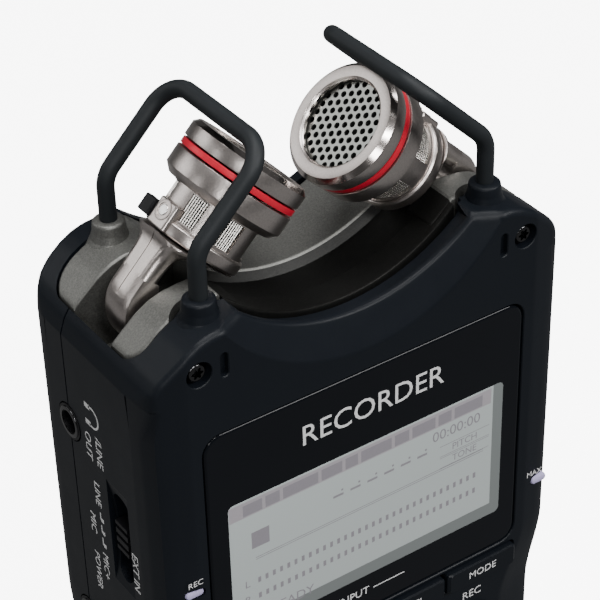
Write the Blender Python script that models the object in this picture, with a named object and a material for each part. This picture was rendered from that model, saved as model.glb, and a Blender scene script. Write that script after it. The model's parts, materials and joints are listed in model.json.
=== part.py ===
"""Handheld stereo recorder with two swinging microphones, modelled in Blender.

Every size below is in millimetres; the helpers turn it into metres.
X runs to the right, Y from the front face to the back, Z up to the microphones.
The origin is the middle of the bottom end.
"""
import math

import bmesh
import bpy
from mathutils import Matrix, Vector

MM = 0.001

# ---------------------------------------------------------------- driving sizes
BODY_HALF_WIDTH = 35.0
LOWER_HALF_WIDTH = BODY_HALF_WIDTH - 1.1
FRONT_Y = -16.5
BACK_Y = 17.5
SHOULDER_Z = 123.6            # where the side wall turns into the sloping shoulder
SHOULDER_RISE = 9.6           # from there to the top of the horns
WALL = 2.0
FRONT_WALL = 2.6
REAR_WALL = 3.4
SPLIT_Y = 7.2                 # parting plane between the two shells
FIT = 0.3                     # clearance between neighbouring pieces
FLANGE = 0.8                  # width and thickness of a key's hidden flange

# cross-section of the body
FLAT_HALF_UPPER = BODY_HALF_WIDTH - 5.6
FLAT_HALF_LOWER = LOWER_HALF_WIDTH - 8.9
BEVEL_INSET_UPPER = 0.9
BEVEL_INSET_LOWER = 1.3
BEVEL_DEPTH_UPPER = 1.0
BEVEL_DEPTH_LOWER = 2.2
FRONT_CORNER_DEPTH = 5.9
BACK_CORNER = 5.0
WAIST_LOW_Z = 58.5
WAIST_HIGH_Z = 73.5
BOTTOM_CORNER = 6.0

# valley between the horns, and the sloping crescent in front of it
VALLEY_HALF = BODY_HALF_WIDTH - 15.4
VALLEY_DEPTH = 7.735          # below the top of the horns
VALLEY_RADIUS = (VALLEY_HALF ** 2 + VALLEY_DEPTH ** 2) / (2.0 * VALLEY_DEPTH)
VALLEY_Z = SHOULDER_Z + SHOULDER_RISE - VALLEY_DEPTH + VALLEY_RADIUS
CRESCENT_RADIUS = VALLEY_RADIUS - 1.2
CRESCENT_Z = VALLEY_Z - 6.8
LIP_BACK = 0.9                # thickness of the thin lip along the valley
LIP_FRONT = 2.2               # depth of the crescent behind the front face
GROOVE_RADIUS = VALLEY_RADIUS + 1.3
DISH_FRONT = 6.3              # measured from the front face
DISH_RADIUS = VALLEY_RADIUS - 1.5
DISH_Z = VALLEY_Z - 2.1
DISH_FLOOR_DROP = 1.5
DISH_RIM_END_Y = FRONT_Y + 11.5
DISH_STEP_Y = DISH_RIM_END_Y + 7.4

# microphone base
DECK_Z = SHOULDER_Z - 5.7                # floor of the pocket that the base sits in
BASE_HALF = BODY_HALF_WIDTH - 7.8
LOBE_OUTER = BODY_HALF_WIDTH - 2.35
LOBE_FRONT_Y = FRONT_Y + 8.7
LOBE_BACK_Y = BACK_Y - 5.3
BASE_BACK_Y = BACK_Y - 2.4
SLOT_INNER = BODY_HALF_WIDTH - 17.7
SLOT_FRONT_GAP = 0.6          # air in front of an arm in its slot, and behind it
SLOT_BACK_GAP = 1.7

# microphones: distances along the arm from its pivot, and radii
PIVOT_X = BODY_HALF_WIDTH - 10.95
PIVOT_Z = SHOULDER_Z + 5.1
MIC_LEAN = 45.0
KNUCKLE_RADIUS = 6.4
ARM_WIDTH = 6.3
ARM_INNER = 2.6
ARM_END = 8.6
HINGE_PIN_RADIUS = 1.5
FLANGE_START = 7.6
FLANGE_RADIUS = 7.0
REAR_RING_RADIUS = 7.3
REAR_RING_END = 10.9
BASKET_RADIUS = 6.9
HEAD_START = 16.0
HEAD_RADIUS = 9.15
HEAD_END = 19.6
HEAD_INNER = HEAD_RADIUS - 1.75
WINDOW_HALF = 3.2
RED_RING = 0.9
CAP_LENGTH = 2.75
CAP_CHAMFER = 0.7
CAP_OPENING = HEAD_RADIUS - 2.65
CAP_LIP = 0.8
GRILLE_THICKNESS = 0.5
CAPSULE_RADIUS = 4.6
TAB_HALF = 2.0
TAB_REACH = 7.75
TAB_END = 12.9
CLAMP_PIN_RADIUS = 0.8
CLAMP_PIN_ALONG = 11.4
BUMPER_START = 9.4
BUMPER_LENGTH = 2.6
BUMPER_DEPTH = 2.5

# guard rods
ROD_RADIUS = 1.25
ROD_X = BODY_HALF_WIDTH - 11.3
ROD_TOP_X = ROD_X - 11.4
ROD_FRONT_Y = FRONT_Y + 5.2
ROD_BACK_Y = BACK_Y - 5.7
ROD_FOOT_Z = SHOULDER_Z + 7.8
ROD_KNEE_Z = SHOULDER_Z + 18.9
ROD_TOP_Z = SHOULDER_Z + 30.15
ROD_BEND = 4.5
COLLAR_BASE_RADIUS = 3.0
COLLAR_TOP_RADIUS = 2.3
COLLAR_FOOT_Z = SHOULDER_Z + 7.4
COLLAR_WAIST_Z = SHOULDER_Z + 9.8
COLLAR_TOP_Z = SHOULDER_Z + 11.9
MIC_Y = (ROD_FRONT_Y + ROD_BACK_Y) / 2.0
SLOT_FRONT_Y = MIC_Y - ARM_WIDTH / 2.0 - SLOT_FRONT_GAP
SLOT_BACK_Y = MIC_Y + ARM_WIDTH / 2.0 + SLOT_BACK_GAP

# display
LENS_HALF_WIDTH = 27.4
LENS_TOP_Z = SHOULDER_Z - 7.2
LENS_HEIGHT = 45.0
LENS_THICKNESS = 1.6
LENS_CORNER = 2.8
LEDGE = 1.9                   # width of the step that the lens is glued to
LCD_THICKNESS = 2.6

# corner lamps: side and height
LAMPS = {"peak_lamp": (1.0, LENS_TOP_Z - 36.2), "four_track_lamp": (-1.0, LENS_TOP_Z - 26.0)}
LAMP_INNER = BODY_HALF_WIDTH - 3.4
LAMP_OUTER = BODY_HALF_WIDTH - 0.7
LAMP_HEIGHT = 1.3

# keys
KEY_PROUD = 1.0
PROUD = 0.1                   # how far side fittings stand out of the wall
ROW_KEY_TOP_Z = LENS_TOP_Z - LENS_HEIGHT - 1.1
ROW_KEY_HEIGHT = 3.8
ROW_KEY_GAP = 0.5
ROW_KEY_COUNT = 4
ROUND_KEY_RADIUS = 4.75
ROUND_KEY_X = 19.5
ROUND_KEY_Z = ROW_KEY_TOP_Z - 14.3
PAD_Z = ROUND_KEY_Z - 16.0
PAD_RADIUS = 13.5
PAD_HOLE_RADIUS = 6.9
PLAY_RADIUS = 6.5
SMALL_KEY_WIDTH = 9.0
SMALL_KEY_HEIGHT = 4.0
SMALL_KEY_Z = PAD_Z - 16.0

# batteries
CELL_RADIUS = 7.1
CELL_LENGTH = 50.0
CELL_PITCH = 2.0 * CELL_RADIUS + 0.8
CELL_Y = BACK_Y - REAR_WALL - 0.4 - CELL_RADIUS
CELL_Z = 30.4
CELL_NIPPLE = 1.2
COVER_HALF_WIDTH = CELL_PITCH + CELL_RADIUS + 2.9
COVER_TOP_Z = CELL_Z + CELL_LENGTH + 2.6
COVER_THICKNESS = 1.8
SPRING_TURNS = 2.5
SPRING_WIRE = 0.35
SPRING_LENGTH = 3.6

# jacks, switches and fittings
COMBO_X = 16.2
COMBO_Y = 1.0
COMBO_RADIUS = 11.0
COMBO_BORE = 3.25
COMBO_LENGTH = 23.0
COMBO_PIN_BORE = 1.5
COMBO_PIN_CIRCLE = 6.6
MINI_JACK_OUTER = 2.9
MINI_JACK_BORE = 1.75
JACK_TO_CELL = 2.8            # air between a small jack and the nearest cell
MINI_JACK_LENGTH = LOWER_HALF_WIDTH - CELL_PITCH - CELL_RADIUS - JACK_TO_CELL
HEADPHONE_Y = 7.2
HEADPHONE_Z = 108.4
REMOTE_Z = 71.5
SLIDER_Y = -5.0
SLIDER_Z = 95.0
SLIDER_HALF = 2.6
SLIDER_SLOT_HALF = 7.6
SLIDER_WIDTH = 3.4
SLIDER_TRAVEL = 3.0
SCOOP_HALF = 9.3
SCOOP_DEPTH = 1.0
SCOOP_WIDTH = 5.6
ROCKER_Z = 104.0
ROCKER_HALF = 7.0
ROCKER_WIDTH = 4.0
DOOR_LOW_Z = 40.0
DOOR_HIGH_Z = 66.0
DOOR_FRONT_Y = -9.0
DOOR_BACK_Y = 3.0
DOOR_THICKNESS = 1.4
TRIPOD_Z = COVER_TOP_Z + 13.0
TRIPOD_RADIUS = 6.5
TRIPOD_BORE = 3.1
TRIPOD_LENGTH = 7.5
SPEAKER_X = 17.5
SPEAKER_Z = 102.0
SPEAKER_RADIUS = 8.0
SCREW_X = BODY_HALF_WIDTH - 7.7
SCREW_Z = SHOULDER_Z + 4.0
SCREW_WELL = 1.95
SCREW_HEAD = 1.6
REAR_SCREW_X = 29.0
REAR_SCREW_Z = 112.0
NOTCH_X = BODY_HALF_WIDTH - 11.3
BOARD_HALF = 27.0
BOARD_Y = FRONT_Y + 7.6
BOARD_THICKNESS = 1.6
BOARD_TO_COMBO = 5.0          # air between the board and the sockets below it


# ---------------------------------------------------------------- helpers
def clear_scene():
    """Take every object out of the scene, leaving the file itself open."""
    for obj in list(bpy.data.objects):
        bpy.data.objects.remove(obj, do_unlink=True)


def material(name, colour, roughness, metallic):
    """A Principled material with one colour."""
    mat = bpy.data.materials.new(name)
    mat.use_nodes = True
    shader = mat.node_tree.nodes["Principled BSDF"]
    shader.inputs["Base Color"].default_value = (*colour, 1.0)
    shader.inputs["Roughness"].default_value = roughness
    shader.inputs["Metallic"].default_value = metallic
    return mat


def add_object(name, bm, mat, parent=None):
    """Turn a bmesh in millimetres into an object in metres."""
    bmesh.ops.recalc_face_normals(bm, faces=bm.faces)
    bmesh.ops.scale(bm, vec=(MM, MM, MM), verts=bm.verts)
    mesh = bpy.data.meshes.new(name)
    bm.to_mesh(mesh)
    bm.free()
    mesh.materials.append(mat)
    mesh.shade_smooth()
    mesh.set_sharp_from_angle(angle=math.radians(35.0))
    obj = bpy.data.objects.new(name, mesh)
    bpy.context.collection.objects.link(obj)
    obj.parent = parent
    return obj


def combine(obj, tools, operation):
    """Apply one exact Boolean per tool and remove the tools."""
    for tool in tools:
        modifier = obj.modifiers.new("cut", "BOOLEAN")
        modifier.operation = operation
        modifier.solver = "EXACT"
        modifier.object = tool
        bpy.context.view_layer.update()
        evaluated = obj.evaluated_get(bpy.context.evaluated_depsgraph_get())
        mesh = bpy.data.meshes.new_from_object(evaluated)
        obj.modifiers.clear()
        obj.data = mesh
        bpy.data.objects.remove(tool, do_unlink=True)
    return obj


def cut(obj, *shapes):
    """Take shapes, given as bmeshes, out of an object."""
    return combine(obj, [guide(shape, obj.parent) for shape in shapes], "DIFFERENCE")


def join(obj, *shapes):
    """Add shapes, given as bmeshes, to an object."""
    return combine(obj, [guide(shape, obj.parent) for shape in shapes], "UNION")


def keep_inside(obj, shape):
    """Keep only what lies inside a shape."""
    return combine(obj, [guide(shape, obj.parent)], "INTERSECT")


def guide(bm, parent):
    """A hidden cutter made from a bmesh, under the same parent as the piece it cuts."""
    bmesh.ops.recalc_face_normals(bm, faces=bm.faces)
    bmesh.ops.scale(bm, vec=(MM, MM, MM), verts=bm.verts)
    mesh = bpy.data.meshes.new("cutter")
    bm.to_mesh(mesh)
    bm.free()
    obj = bpy.data.objects.new("cutter", mesh)
    obj.parent = parent
    obj.hide_render = True
    obj.display_type = "WIRE"
    bpy.context.collection.objects.link(obj)
    return obj


def prism(outline, axis, low, high, bm=None):
    """Extrude a flat outline along X, Y or Z between two planes."""
    bm = bm or bmesh.new()
    order = {"X": lambda a, b, h: (h, a, b),
             "Y": lambda a, b, h: (a, h, b),
             "Z": lambda a, b, h: (a, b, h)}[axis]
    lower = [bm.verts.new(order(a, b, low)) for a, b in outline]
    upper = [bm.verts.new(order(a, b, high)) for a, b in outline]
    close_tube(bm, [lower, upper])
    return bm


def close_tube(bm, rings):
    """Skin a row of equal rings and cap both ends."""
    for first, second in zip(rings, rings[1:]):
        skin(bm, first, second)
    bm.faces.new(rings[0])
    bm.faces.new(rings[-1])


def skin(bm, first, second):
    """Join two rings of the same length with quads."""
    count = len(first)
    for i in range(count):
        k = (i + 1) % count
        bm.faces.new((first[i], first[k], second[k], second[i]))


def box(x_low, x_high, y_low, y_high, z_low, z_high, bm=None):
    """A plain block between two corners."""
    outline = [(x_low, y_low), (x_high, y_low), (x_high, y_high), (x_low, y_high)]
    return prism(outline, "Z", z_low, z_high, bm)


def arc(centre, radius, start, end, steps):
    """Points of a circle from one angle to another, in degrees."""
    points = []
    for i in range(steps + 1):
        angle = math.radians(start + (end - start) * i / steps)
        points.append((centre[0] + radius * math.cos(angle),
                       centre[1] + radius * math.sin(angle)))
    return points


def rounded_rect(x_low, x_high, z_low, z_high, radius, steps=3):
    """Outline of a rectangle with round corners."""
    points = arc((x_high - radius, z_low + radius), radius, -90.0, 0.0, steps)
    points += arc((x_high - radius, z_high - radius), radius, 0.0, 90.0, steps)
    points += arc((x_low + radius, z_high - radius), radius, 90.0, 180.0, steps)
    points += arc((x_low + radius, z_low + radius), radius, 180.0, 270.0, steps)
    return points


def turned(profile, segments, bm=None):
    """A solid of revolution about Z; the profile (radius, height) starts and ends on the axis
    or, where no point has radius zero, closes on itself as a ring."""
    bm = bm or bmesh.new()
    solid = profile[0][0] == 0.0
    rings = []
    for radius, height in profile:
        if radius == 0.0:
            rings.append([bm.verts.new((0.0, 0.0, height))])
            continue
        ring = []
        for i in range(segments):
            angle = 2.0 * math.pi * i / segments
            ring.append(bm.verts.new((radius * math.cos(angle), radius * math.sin(angle), height)))
        rings.append(ring)
    pairs = list(zip(rings, rings[1:]))
    if not solid:
        pairs.append((rings[-1], rings[0]))
    for first, second in pairs:
        if len(first) == 1:
            fan(bm, first[0], second)
        elif len(second) == 1:
            fan(bm, second[0], first)
        else:
            skin(bm, first, second)
    return bm


def fan(bm, tip, ring):
    """Close a ring with triangles that meet at one point."""
    for i, vert in enumerate(ring):
        bm.faces.new((tip, vert, ring[(i + 1) % len(ring)]))


def cylinder(radius, low, high, segments, bm=None):
    """A plain solid cylinder on Z."""
    return turned([(0.0, low), (radius, low), (radius, high), (0.0, high)], segments, bm)


def placed(bm, turn=None, shift=(0.0, 0.0, 0.0)):
    """Turn and then move everything in a bmesh."""
    matrix = Matrix.Translation(Vector(shift))
    if turn:
        matrix = matrix @ Matrix.Rotation(math.radians(turn[1]), 4, turn[0])
    bmesh.ops.transform(bm, matrix=matrix, verts=bm.verts)
    return bm


def along_y(bm, x, y, z):
    """Lay a shape that was made on Z along +Y, with its foot at the given place."""
    return placed(bm, ("X", -90.0), (x, y, z))


def along_x(bm, side, x, y, z):
    """Lay a shape that was made on Z so that it points out through the left or right wall."""
    return placed(bm, ("Y", 90.0 * side), (x, y, z))


def smooth_step(value, low, high):
    """Ease from 0 to 1 between two values."""
    share = min(max((value - low) / (high - low), 0.0), 1.0)
    return share * share * (3.0 - 2.0 * share)


# ---------------------------------------------------------------- body outline
def body_section(z):
    """Outline in X and Y of the body at one height."""
    upper = smooth_step(z, WAIST_LOW_Z, WAIST_HIGH_Z)
    half = LOWER_HALF_WIDTH + (BODY_HALF_WIDTH - LOWER_HALF_WIDTH) * upper
    flat = FLAT_HALF_LOWER + (FLAT_HALF_UPPER - FLAT_HALF_LOWER) * upper
    inset = BEVEL_INSET_LOWER + (BEVEL_INSET_UPPER - BEVEL_INSET_LOWER) * upper
    depth = BEVEL_DEPTH_LOWER + (BEVEL_DEPTH_UPPER - BEVEL_DEPTH_LOWER) * upper
    right = [(flat, FRONT_Y), (half - inset, FRONT_Y + depth)]
    right += [(half - inset * 0.35, FRONT_Y + depth + (FRONT_CORNER_DEPTH - depth) * 0.35)]
    right += [(half, FRONT_Y + FRONT_CORNER_DEPTH)]
    right += arc((half - BACK_CORNER, BACK_Y - BACK_CORNER), BACK_CORNER, 0.0, 90.0, 4)
    left = [(-x, y) for x, y in reversed(right)]
    return right + left


def shoulder_points():
    """Right-hand top outline in X and Z, from the side wall in to the valley."""
    reach = BODY_HALF_WIDTH
    rise = SHOULDER_RISE
    shares = ((0.0, 0.0), (0.8, 0.25), (2.0, 0.427), (4.0, 0.609), (6.0, 0.781),
              (8.0, 0.901), (10.0, 0.964), (12.5, 0.99))
    points = [(reach - inward, SHOULDER_Z + rise * share) for inward, share in shares]
    points.append((VALLEY_HALF, SHOULDER_Z + rise))
    return points


def valley_points(radius, centre_z, half, steps=12):
    """Circle through the valley, from +half to -half."""
    spread = math.degrees(math.asin(half / radius))
    return arc((0.0, centre_z), radius, -90.0 + spread, -90.0 - spread, steps)


def body_outline(radius, centre_z, half):
    """Closed outline in X and Z of the body with a valley of the given circle."""
    lower = LOWER_HALF_WIDTH
    right = arc((lower - BOTTOM_CORNER, BOTTOM_CORNER), BOTTOM_CORNER, -90.0, 0.0, 4)
    right += [(BODY_HALF_WIDTH + WALL, BOTTOM_CORNER)]
    right += [(BODY_HALF_WIDTH + WALL, SHOULDER_Z)]
    right += shoulder_points()[:-1]
    middle = valley_points(radius, centre_z, half)
    left = [(-x, z) for x, z in reversed(right)]
    return right + middle + left


def body_block():
    """The whole outer body as one solid, before it is split and hollowed."""
    bm = bmesh.new()
    heights = [-1.0, WAIST_LOW_Z]
    steps = 6
    for i in range(1, steps + 1):
        heights.append(WAIST_LOW_Z + (WAIST_HIGH_Z - WAIST_LOW_Z) * i / steps)
    heights.append(SHOULDER_Z + SHOULDER_RISE + 2.0)
    rings = [[bm.verts.new((x, y, z)) for x, y in body_section(z)] for z in heights]
    close_tube(bm, rings)
    return bm


def crescent():
    """Oblique cone that slopes the front face down from the thin lip of the valley."""
    bm = bmesh.new()
    rings = []
    for share in (-0.9, 1.2):
        radius = CRESCENT_RADIUS + (VALLEY_RADIUS - CRESCENT_RADIUS) * share
        height = CRESCENT_Z + (VALLEY_Z - CRESCENT_Z) * share
        y = FRONT_Y + LIP_FRONT * share
        points = arc((0.0, height), radius, 180.0, 360.0, 24)
        points += [(radius, height + 20.0), (-radius, height + 20.0)]
        rings.append([bm.verts.new((x, y, z)) for x, z in points])
    close_tube(bm, rings)
    return bm


def cavity():
    """The hollow that both shells share."""
    inner = FRONT_Y + FRONT_WALL
    back = BACK_Y - REAR_WALL
    upper = BODY_HALF_WIDTH - WALL - 1.5
    lower = LOWER_HALF_WIDTH - WALL - 2.4
    outline = [(lower, WALL), (lower, WAIST_LOW_Z + 8.0), (upper, WAIST_LOW_Z + 10.0),
               (upper, DECK_Z - WALL)]
    outline += [(-x, z) for x, z in reversed(outline)]
    return prism(outline, "Y", inner, back)


# ---------------------------------------------------------------- housing
def pocket_shapes(margin):
    """Blocks of the pocket for the microphone base, larger than it by a margin."""
    top = SHOULDER_Z + SHOULDER_RISE + 6.0
    floor = DECK_Z if margin else DECK_Z + FIT
    front = FRONT_Y + DISH_FRONT - margin
    half_front = ROD_X - COLLAR_BASE_RADIUS - FIT + margin
    middle = box(-half_front, half_front, front, LOBE_FRONT_Y + 1.0, floor, top)
    lobes = box(-LOBE_OUTER - margin, LOBE_OUTER + margin, LOBE_FRONT_Y - margin,
                LOBE_BACK_Y + margin, floor, top)
    rear = box(-BASE_HALF - margin, BASE_HALF + margin, LOBE_BACK_Y - 1.0,
               BASE_BACK_Y + margin, floor, top)
    return middle, lobes, rear


def collar(y):
    """Pair of stepped collars that the guard rods stand in."""
    bm = bmesh.new()
    for side in (-1.0, 1.0):
        part = turned([(0.0, COLLAR_FOOT_Z), (COLLAR_BASE_RADIUS, COLLAR_FOOT_Z),
                       (COLLAR_BASE_RADIUS, COLLAR_WAIST_Z),
                       (COLLAR_TOP_RADIUS, COLLAR_WAIST_Z + 0.9),
                       (COLLAR_TOP_RADIUS, COLLAR_TOP_Z), (0.0, COLLAR_TOP_Z)], 16)
        placed(part, shift=(side * ROD_X, y, 0.0))
        append(bm, part)
    return bm


def append(target, source):
    """Copy one bmesh into another and free the source."""
    mesh = bpy.data.meshes.new("scratch")
    source.to_mesh(mesh)
    source.free()
    target.from_mesh(mesh)
    bpy.data.meshes.remove(mesh)


def rod_holes(y):
    """Blind holes that the rod ends stand in."""
    bm = bmesh.new()
    for side in (-1.0, 1.0):
        hole = cylinder(ROD_RADIUS + FIT, ROD_FOOT_Z - FIT, COLLAR_TOP_Z + 3.0, 12)
        append(bm, placed(hole, shift=(side * ROD_X, y, 0.0)))
    return bm


def lens_outline(margin):
    """Outline of the display lens, or of its recess when a margin is given."""
    return rounded_rect(-LENS_HALF_WIDTH - margin, LENS_HALF_WIDTH + margin,
                        LENS_TOP_Z - LENS_HEIGHT - margin, LENS_TOP_Z + margin,
                        LENS_CORNER + margin)


def row_key_span(index):
    """Left and right edges of one key in the row under the display."""
    width = (2.0 * LENS_HALF_WIDTH - (ROW_KEY_COUNT - 1) * ROW_KEY_GAP) / ROW_KEY_COUNT
    left = -LENS_HALF_WIDTH + index * (width + ROW_KEY_GAP)
    return left, left + width


def key_holes():
    """Openings in the front wall for all the keys."""
    low = FRONT_Y - 3.0
    high = FRONT_Y + FRONT_WALL + 3.0
    bm = bmesh.new()
    row = rounded_rect(-LENS_HALF_WIDTH - FIT, LENS_HALF_WIDTH + FIT,
                       ROW_KEY_TOP_Z - ROW_KEY_HEIGHT - FIT, ROW_KEY_TOP_Z + FIT, 0.8, 2)
    prism(row, "Y", low, high, bm)
    for side in (-1.0, 1.0):
        prism(arc((side * ROUND_KEY_X, ROUND_KEY_Z), ROUND_KEY_RADIUS + FIT, 0.0, 345.0, 23),
              "Y", low, high, bm)
        prism(small_key_outline(side, FIT), "Y", low, high, bm)
    prism(arc((0.0, PAD_Z), PAD_RADIUS + FIT, 0.0, 348.75, 31), "Y", low, high, bm)
    return bm


def small_key_outline(side, margin):
    """Rounded outline of a small key below the pad."""
    half = SMALL_KEY_WIDTH / 2.0 + margin
    tall = SMALL_KEY_HEIGHT / 2.0 + margin
    return rounded_rect(side * ROUND_KEY_X - half, side * ROUND_KEY_X + half,
                        SMALL_KEY_Z - tall, SMALL_KEY_Z + tall, 1.6)


def lamp_outline(z_low, z_high, margin):
    """Outline in Y and Z of a lamp window in the corner of the front."""
    return [(FRONT_Y - 1.0, z_low - margin), (FRONT_Y + 2.6 + margin, z_low - margin),
            (FRONT_Y + 2.6 + margin, z_high + margin), (FRONT_Y - 1.0, z_high + margin)]


def lamp_block(side, z, margin):
    """Block of one corner lamp, or of its window."""
    low, high = sorted((side * (LAMP_INNER - margin), side * (LAMP_OUTER + margin)))
    return prism(lamp_outline(z - LAMP_HEIGHT / 2.0, z + LAMP_HEIGHT / 2.0, margin),
                 "X", low, high)


def front_screw_wells():
    """Round wells for the two screws in the upper corners of the front."""
    bm = bmesh.new()
    for side in (-1.0, 1.0):
        well = cylinder(SCREW_WELL, -1.0, 2.2, 20)
        append(bm, along_y(well, side * SCREW_X, FRONT_Y, SCREW_Z))
    return bm


def front_notches():
    """Two narrow D-shaped notches beside the screws."""
    bm = bmesh.new()
    for side in (-1.0, 1.0):
        points = arc((side * NOTCH_X - 0.65, SCREW_Z), 1.8, -68.0, 68.0, 6)
        prism(points, "Y", FRONT_Y - 1.0, FRONT_Y + 1.2, bm)
    return bm


def slider_slot(side, z, margin):
    """Recess with rounded ends in a side wall, for a slide switch."""
    half = SLIDER_WIDTH / 2.0 + margin
    outline = rounded_rect(SLIDER_Y - half, SLIDER_Y + half,
                           z - SLIDER_SLOT_HALF, z + SLIDER_SLOT_HALF, half * 0.95, 4)
    low, high = sorted((side * (BODY_HALF_WIDTH - 6.0), side * (BODY_HALF_WIDTH + 2.0)))
    return prism(outline, "X", low, high)


def finger_scoop(side):
    """Shallow scoop around a slide switch."""
    radius = (SCOOP_HALF ** 2 + SCOOP_DEPTH ** 2) / (2.0 * SCOOP_DEPTH)
    centre = side * (BODY_HALF_WIDTH - SCOOP_DEPTH + radius)
    reach = math.degrees(math.asin(SCOOP_HALF * 1.2 / radius))
    facing = 90.0 + side * 90.0
    outline = arc((centre, SLIDER_Z), radius, facing - reach, facing + reach, 12)
    return prism(outline, "Y", SLIDER_Y - SCOOP_WIDTH / 2.0, SLIDER_Y + SCOOP_WIDTH / 2.0)


def side_hole(side, radius, y, z, depth):
    """Round hole in from a side wall."""
    hole = cylinder(radius, -depth, 3.0, 20)
    return along_x(hole, side, side * BODY_HALF_WIDTH, y, z)


def side_block(side, outer, depth, y_low, y_high, z_low, z_high):
    """Block let into a side wall, from a given outer plane inwards."""
    low, high = sorted((side * (outer - depth), side * outer))
    return box(low, high, y_low, y_high, z_low, z_high)


def combo_shape(x, radius, low, high, segments=28):
    """Round shape on the line of one combination socket."""
    return placed(cylinder(radius, low, high, segments), shift=(x, COMBO_Y, 0.0))


def build_front_shell(plastic):
    """Front half of the housing, with the lip, the collars and every opening in the front."""
    shell = add_object("front_shell", body_block(), plastic)
    keep_inside(shell, prism(body_outline(VALLEY_RADIUS, VALLEY_Z, VALLEY_HALF), "Y",
                             FRONT_Y - 2.0, SPLIT_Y - FIT / 2.0))
    cut(shell, crescent())
    groove = valley_points(GROOVE_RADIUS, VALLEY_Z, VALLEY_HALF)
    groove += [(-VALLEY_HALF, VALLEY_Z), (VALLEY_HALF, VALLEY_Z)]
    cut(shell, prism(groove, "Y", FRONT_Y + LIP_FRONT + LIP_BACK, SPLIT_Y + 2.0))
    cut(shell, cavity(), *pocket_shapes(FIT))
    join(shell, collar(ROD_FRONT_Y))
    cut(shell, rod_holes(ROD_FRONT_Y))
    recess = FRONT_Y + LENS_THICKNESS + FIT
    cut(shell, prism(lens_outline(FIT), "Y", FRONT_Y - 2.0, recess))
    cut(shell, prism(lens_outline(-LEDGE), "Y", FRONT_Y - 2.0, FRONT_Y + FRONT_WALL + 2.0))
    cut(shell, key_holes(), front_screw_wells(), front_notches())
    cut(shell, *[lamp_block(side, z, FIT) for side, z in LAMPS.values()])
    for side in (-1.0, 1.0):
        cut(shell, finger_scoop(side), slider_slot(side, SLIDER_Z, FIT))
    cut(shell, side_hole(-1.0, MINI_JACK_OUTER + FIT, HEADPHONE_Y, HEADPHONE_Z, 6.0))
    cut(shell, side_hole(-1.0, MINI_JACK_OUTER + FIT, HEADPHONE_Y, REMOTE_Z, 6.0))
    cut(shell, door_recess())
    cut(shell, *[combo_shape(side * COMBO_X, COMBO_RADIUS + FIT, -1.0, WALL + 2.0)
                 for side in (-1.0, 1.0)])
    return shell


def door_recess():
    """Opening in the right wall that the card door closes."""
    return side_block(1.0, BODY_HALF_WIDTH + 2.0, 8.0, DOOR_FRONT_Y - FIT, DOOR_BACK_Y + FIT,
                      DOOR_LOW_Z - FIT, DOOR_HIGH_Z + FIT)


def build_rear_shell(plastic):
    """Back half of the housing, with the battery bay and the rear fittings."""
    shell = add_object("rear_shell", body_block(), plastic)
    keep_inside(shell, prism(body_outline(VALLEY_RADIUS, VALLEY_Z, VALLEY_HALF), "Y",
                             SPLIT_Y + FIT / 2.0, BACK_Y + 2.0))
    cut(shell, cavity(), *pocket_shapes(FIT))
    floor = BACK_Y - COVER_THICKNESS - FIT
    cut(shell, box(-COVER_HALF_WIDTH - FIT, COVER_HALF_WIDTH + FIT, floor, BACK_Y + 1.0,
                   -1.0, COVER_TOP_Z + FIT))
    cut(shell, battery_opening())
    cut(shell, tripod_opening())
    cut(shell, speaker_slots(), back_screw_wells())
    cut(shell, rocker_block(FIT))
    cut(shell, side_hole(-1.0, MINI_JACK_OUTER + FIT, HEADPHONE_Y, HEADPHONE_Z, 6.0))
    cut(shell, side_hole(-1.0, MINI_JACK_OUTER + FIT, HEADPHONE_Y, REMOTE_Z, 6.0))
    cut(shell, *[combo_shape(side * COMBO_X, COMBO_RADIUS + FIT, -1.0, WALL + 2.0)
                 for side in (-1.0, 1.0)])
    return shell


def tripod_opening():
    """Round hole for the threaded insert."""
    hole = cylinder(TRIPOD_RADIUS + FIT, -REAR_WALL - 1.0, 2.0, 24)
    return along_y(hole, 0.0, BACK_Y, TRIPOD_Z)


def battery_opening():
    """Window under the cover that the cells go in through."""
    half = CELL_PITCH + CELL_RADIUS + 1.0
    return box(-half, half, BACK_Y - REAR_WALL - 1.0, BACK_Y, CELL_Z - 1.5,
               CELL_Z + CELL_LENGTH + CELL_NIPPLE + 0.8)


def speaker_slots():
    """Row of short slots in front of the loudspeaker."""
    bm = bmesh.new()
    pitch = 2.6
    for i in range(-2, 3):
        reach = math.sqrt(max((SPEAKER_RADIUS - 2.0) ** 2 - (i * pitch) ** 2, 1.0))
        outline = rounded_rect(SPEAKER_X - reach, SPEAKER_X + reach,
                               SPEAKER_Z + i * pitch - 0.5, SPEAKER_Z + i * pitch + 0.5, 0.45, 2)
        prism(outline, "Y", BACK_Y - REAR_WALL - 1.0, BACK_Y + 1.0, bm)
    return bm


def back_screw_wells():
    """Wells for the screws in the back."""
    bm = bmesh.new()
    for side in (-1.0, 1.0):
        well = cylinder(SCREW_WELL, -1.6, 1.0, 16)
        append(bm, along_y(well, side * REAR_SCREW_X, BACK_Y, REAR_SCREW_Z))
    return bm


def rocker_block(margin):
    """Block of the volume rocker in the right wall, or its opening."""
    middle = SPLIT_Y + 1.2 + ROCKER_WIDTH / 2.0
    depth = 6.0 if margin else 3.0
    outer = BODY_HALF_WIDTH + (2.0 if margin else PROUD)
    return side_block(1.0, outer, depth, middle - ROCKER_WIDTH / 2.0 - margin,
                      middle + ROCKER_WIDTH / 2.0 + margin,
                      ROCKER_Z - ROCKER_HALF - margin, ROCKER_Z + ROCKER_HALF + margin)


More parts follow.
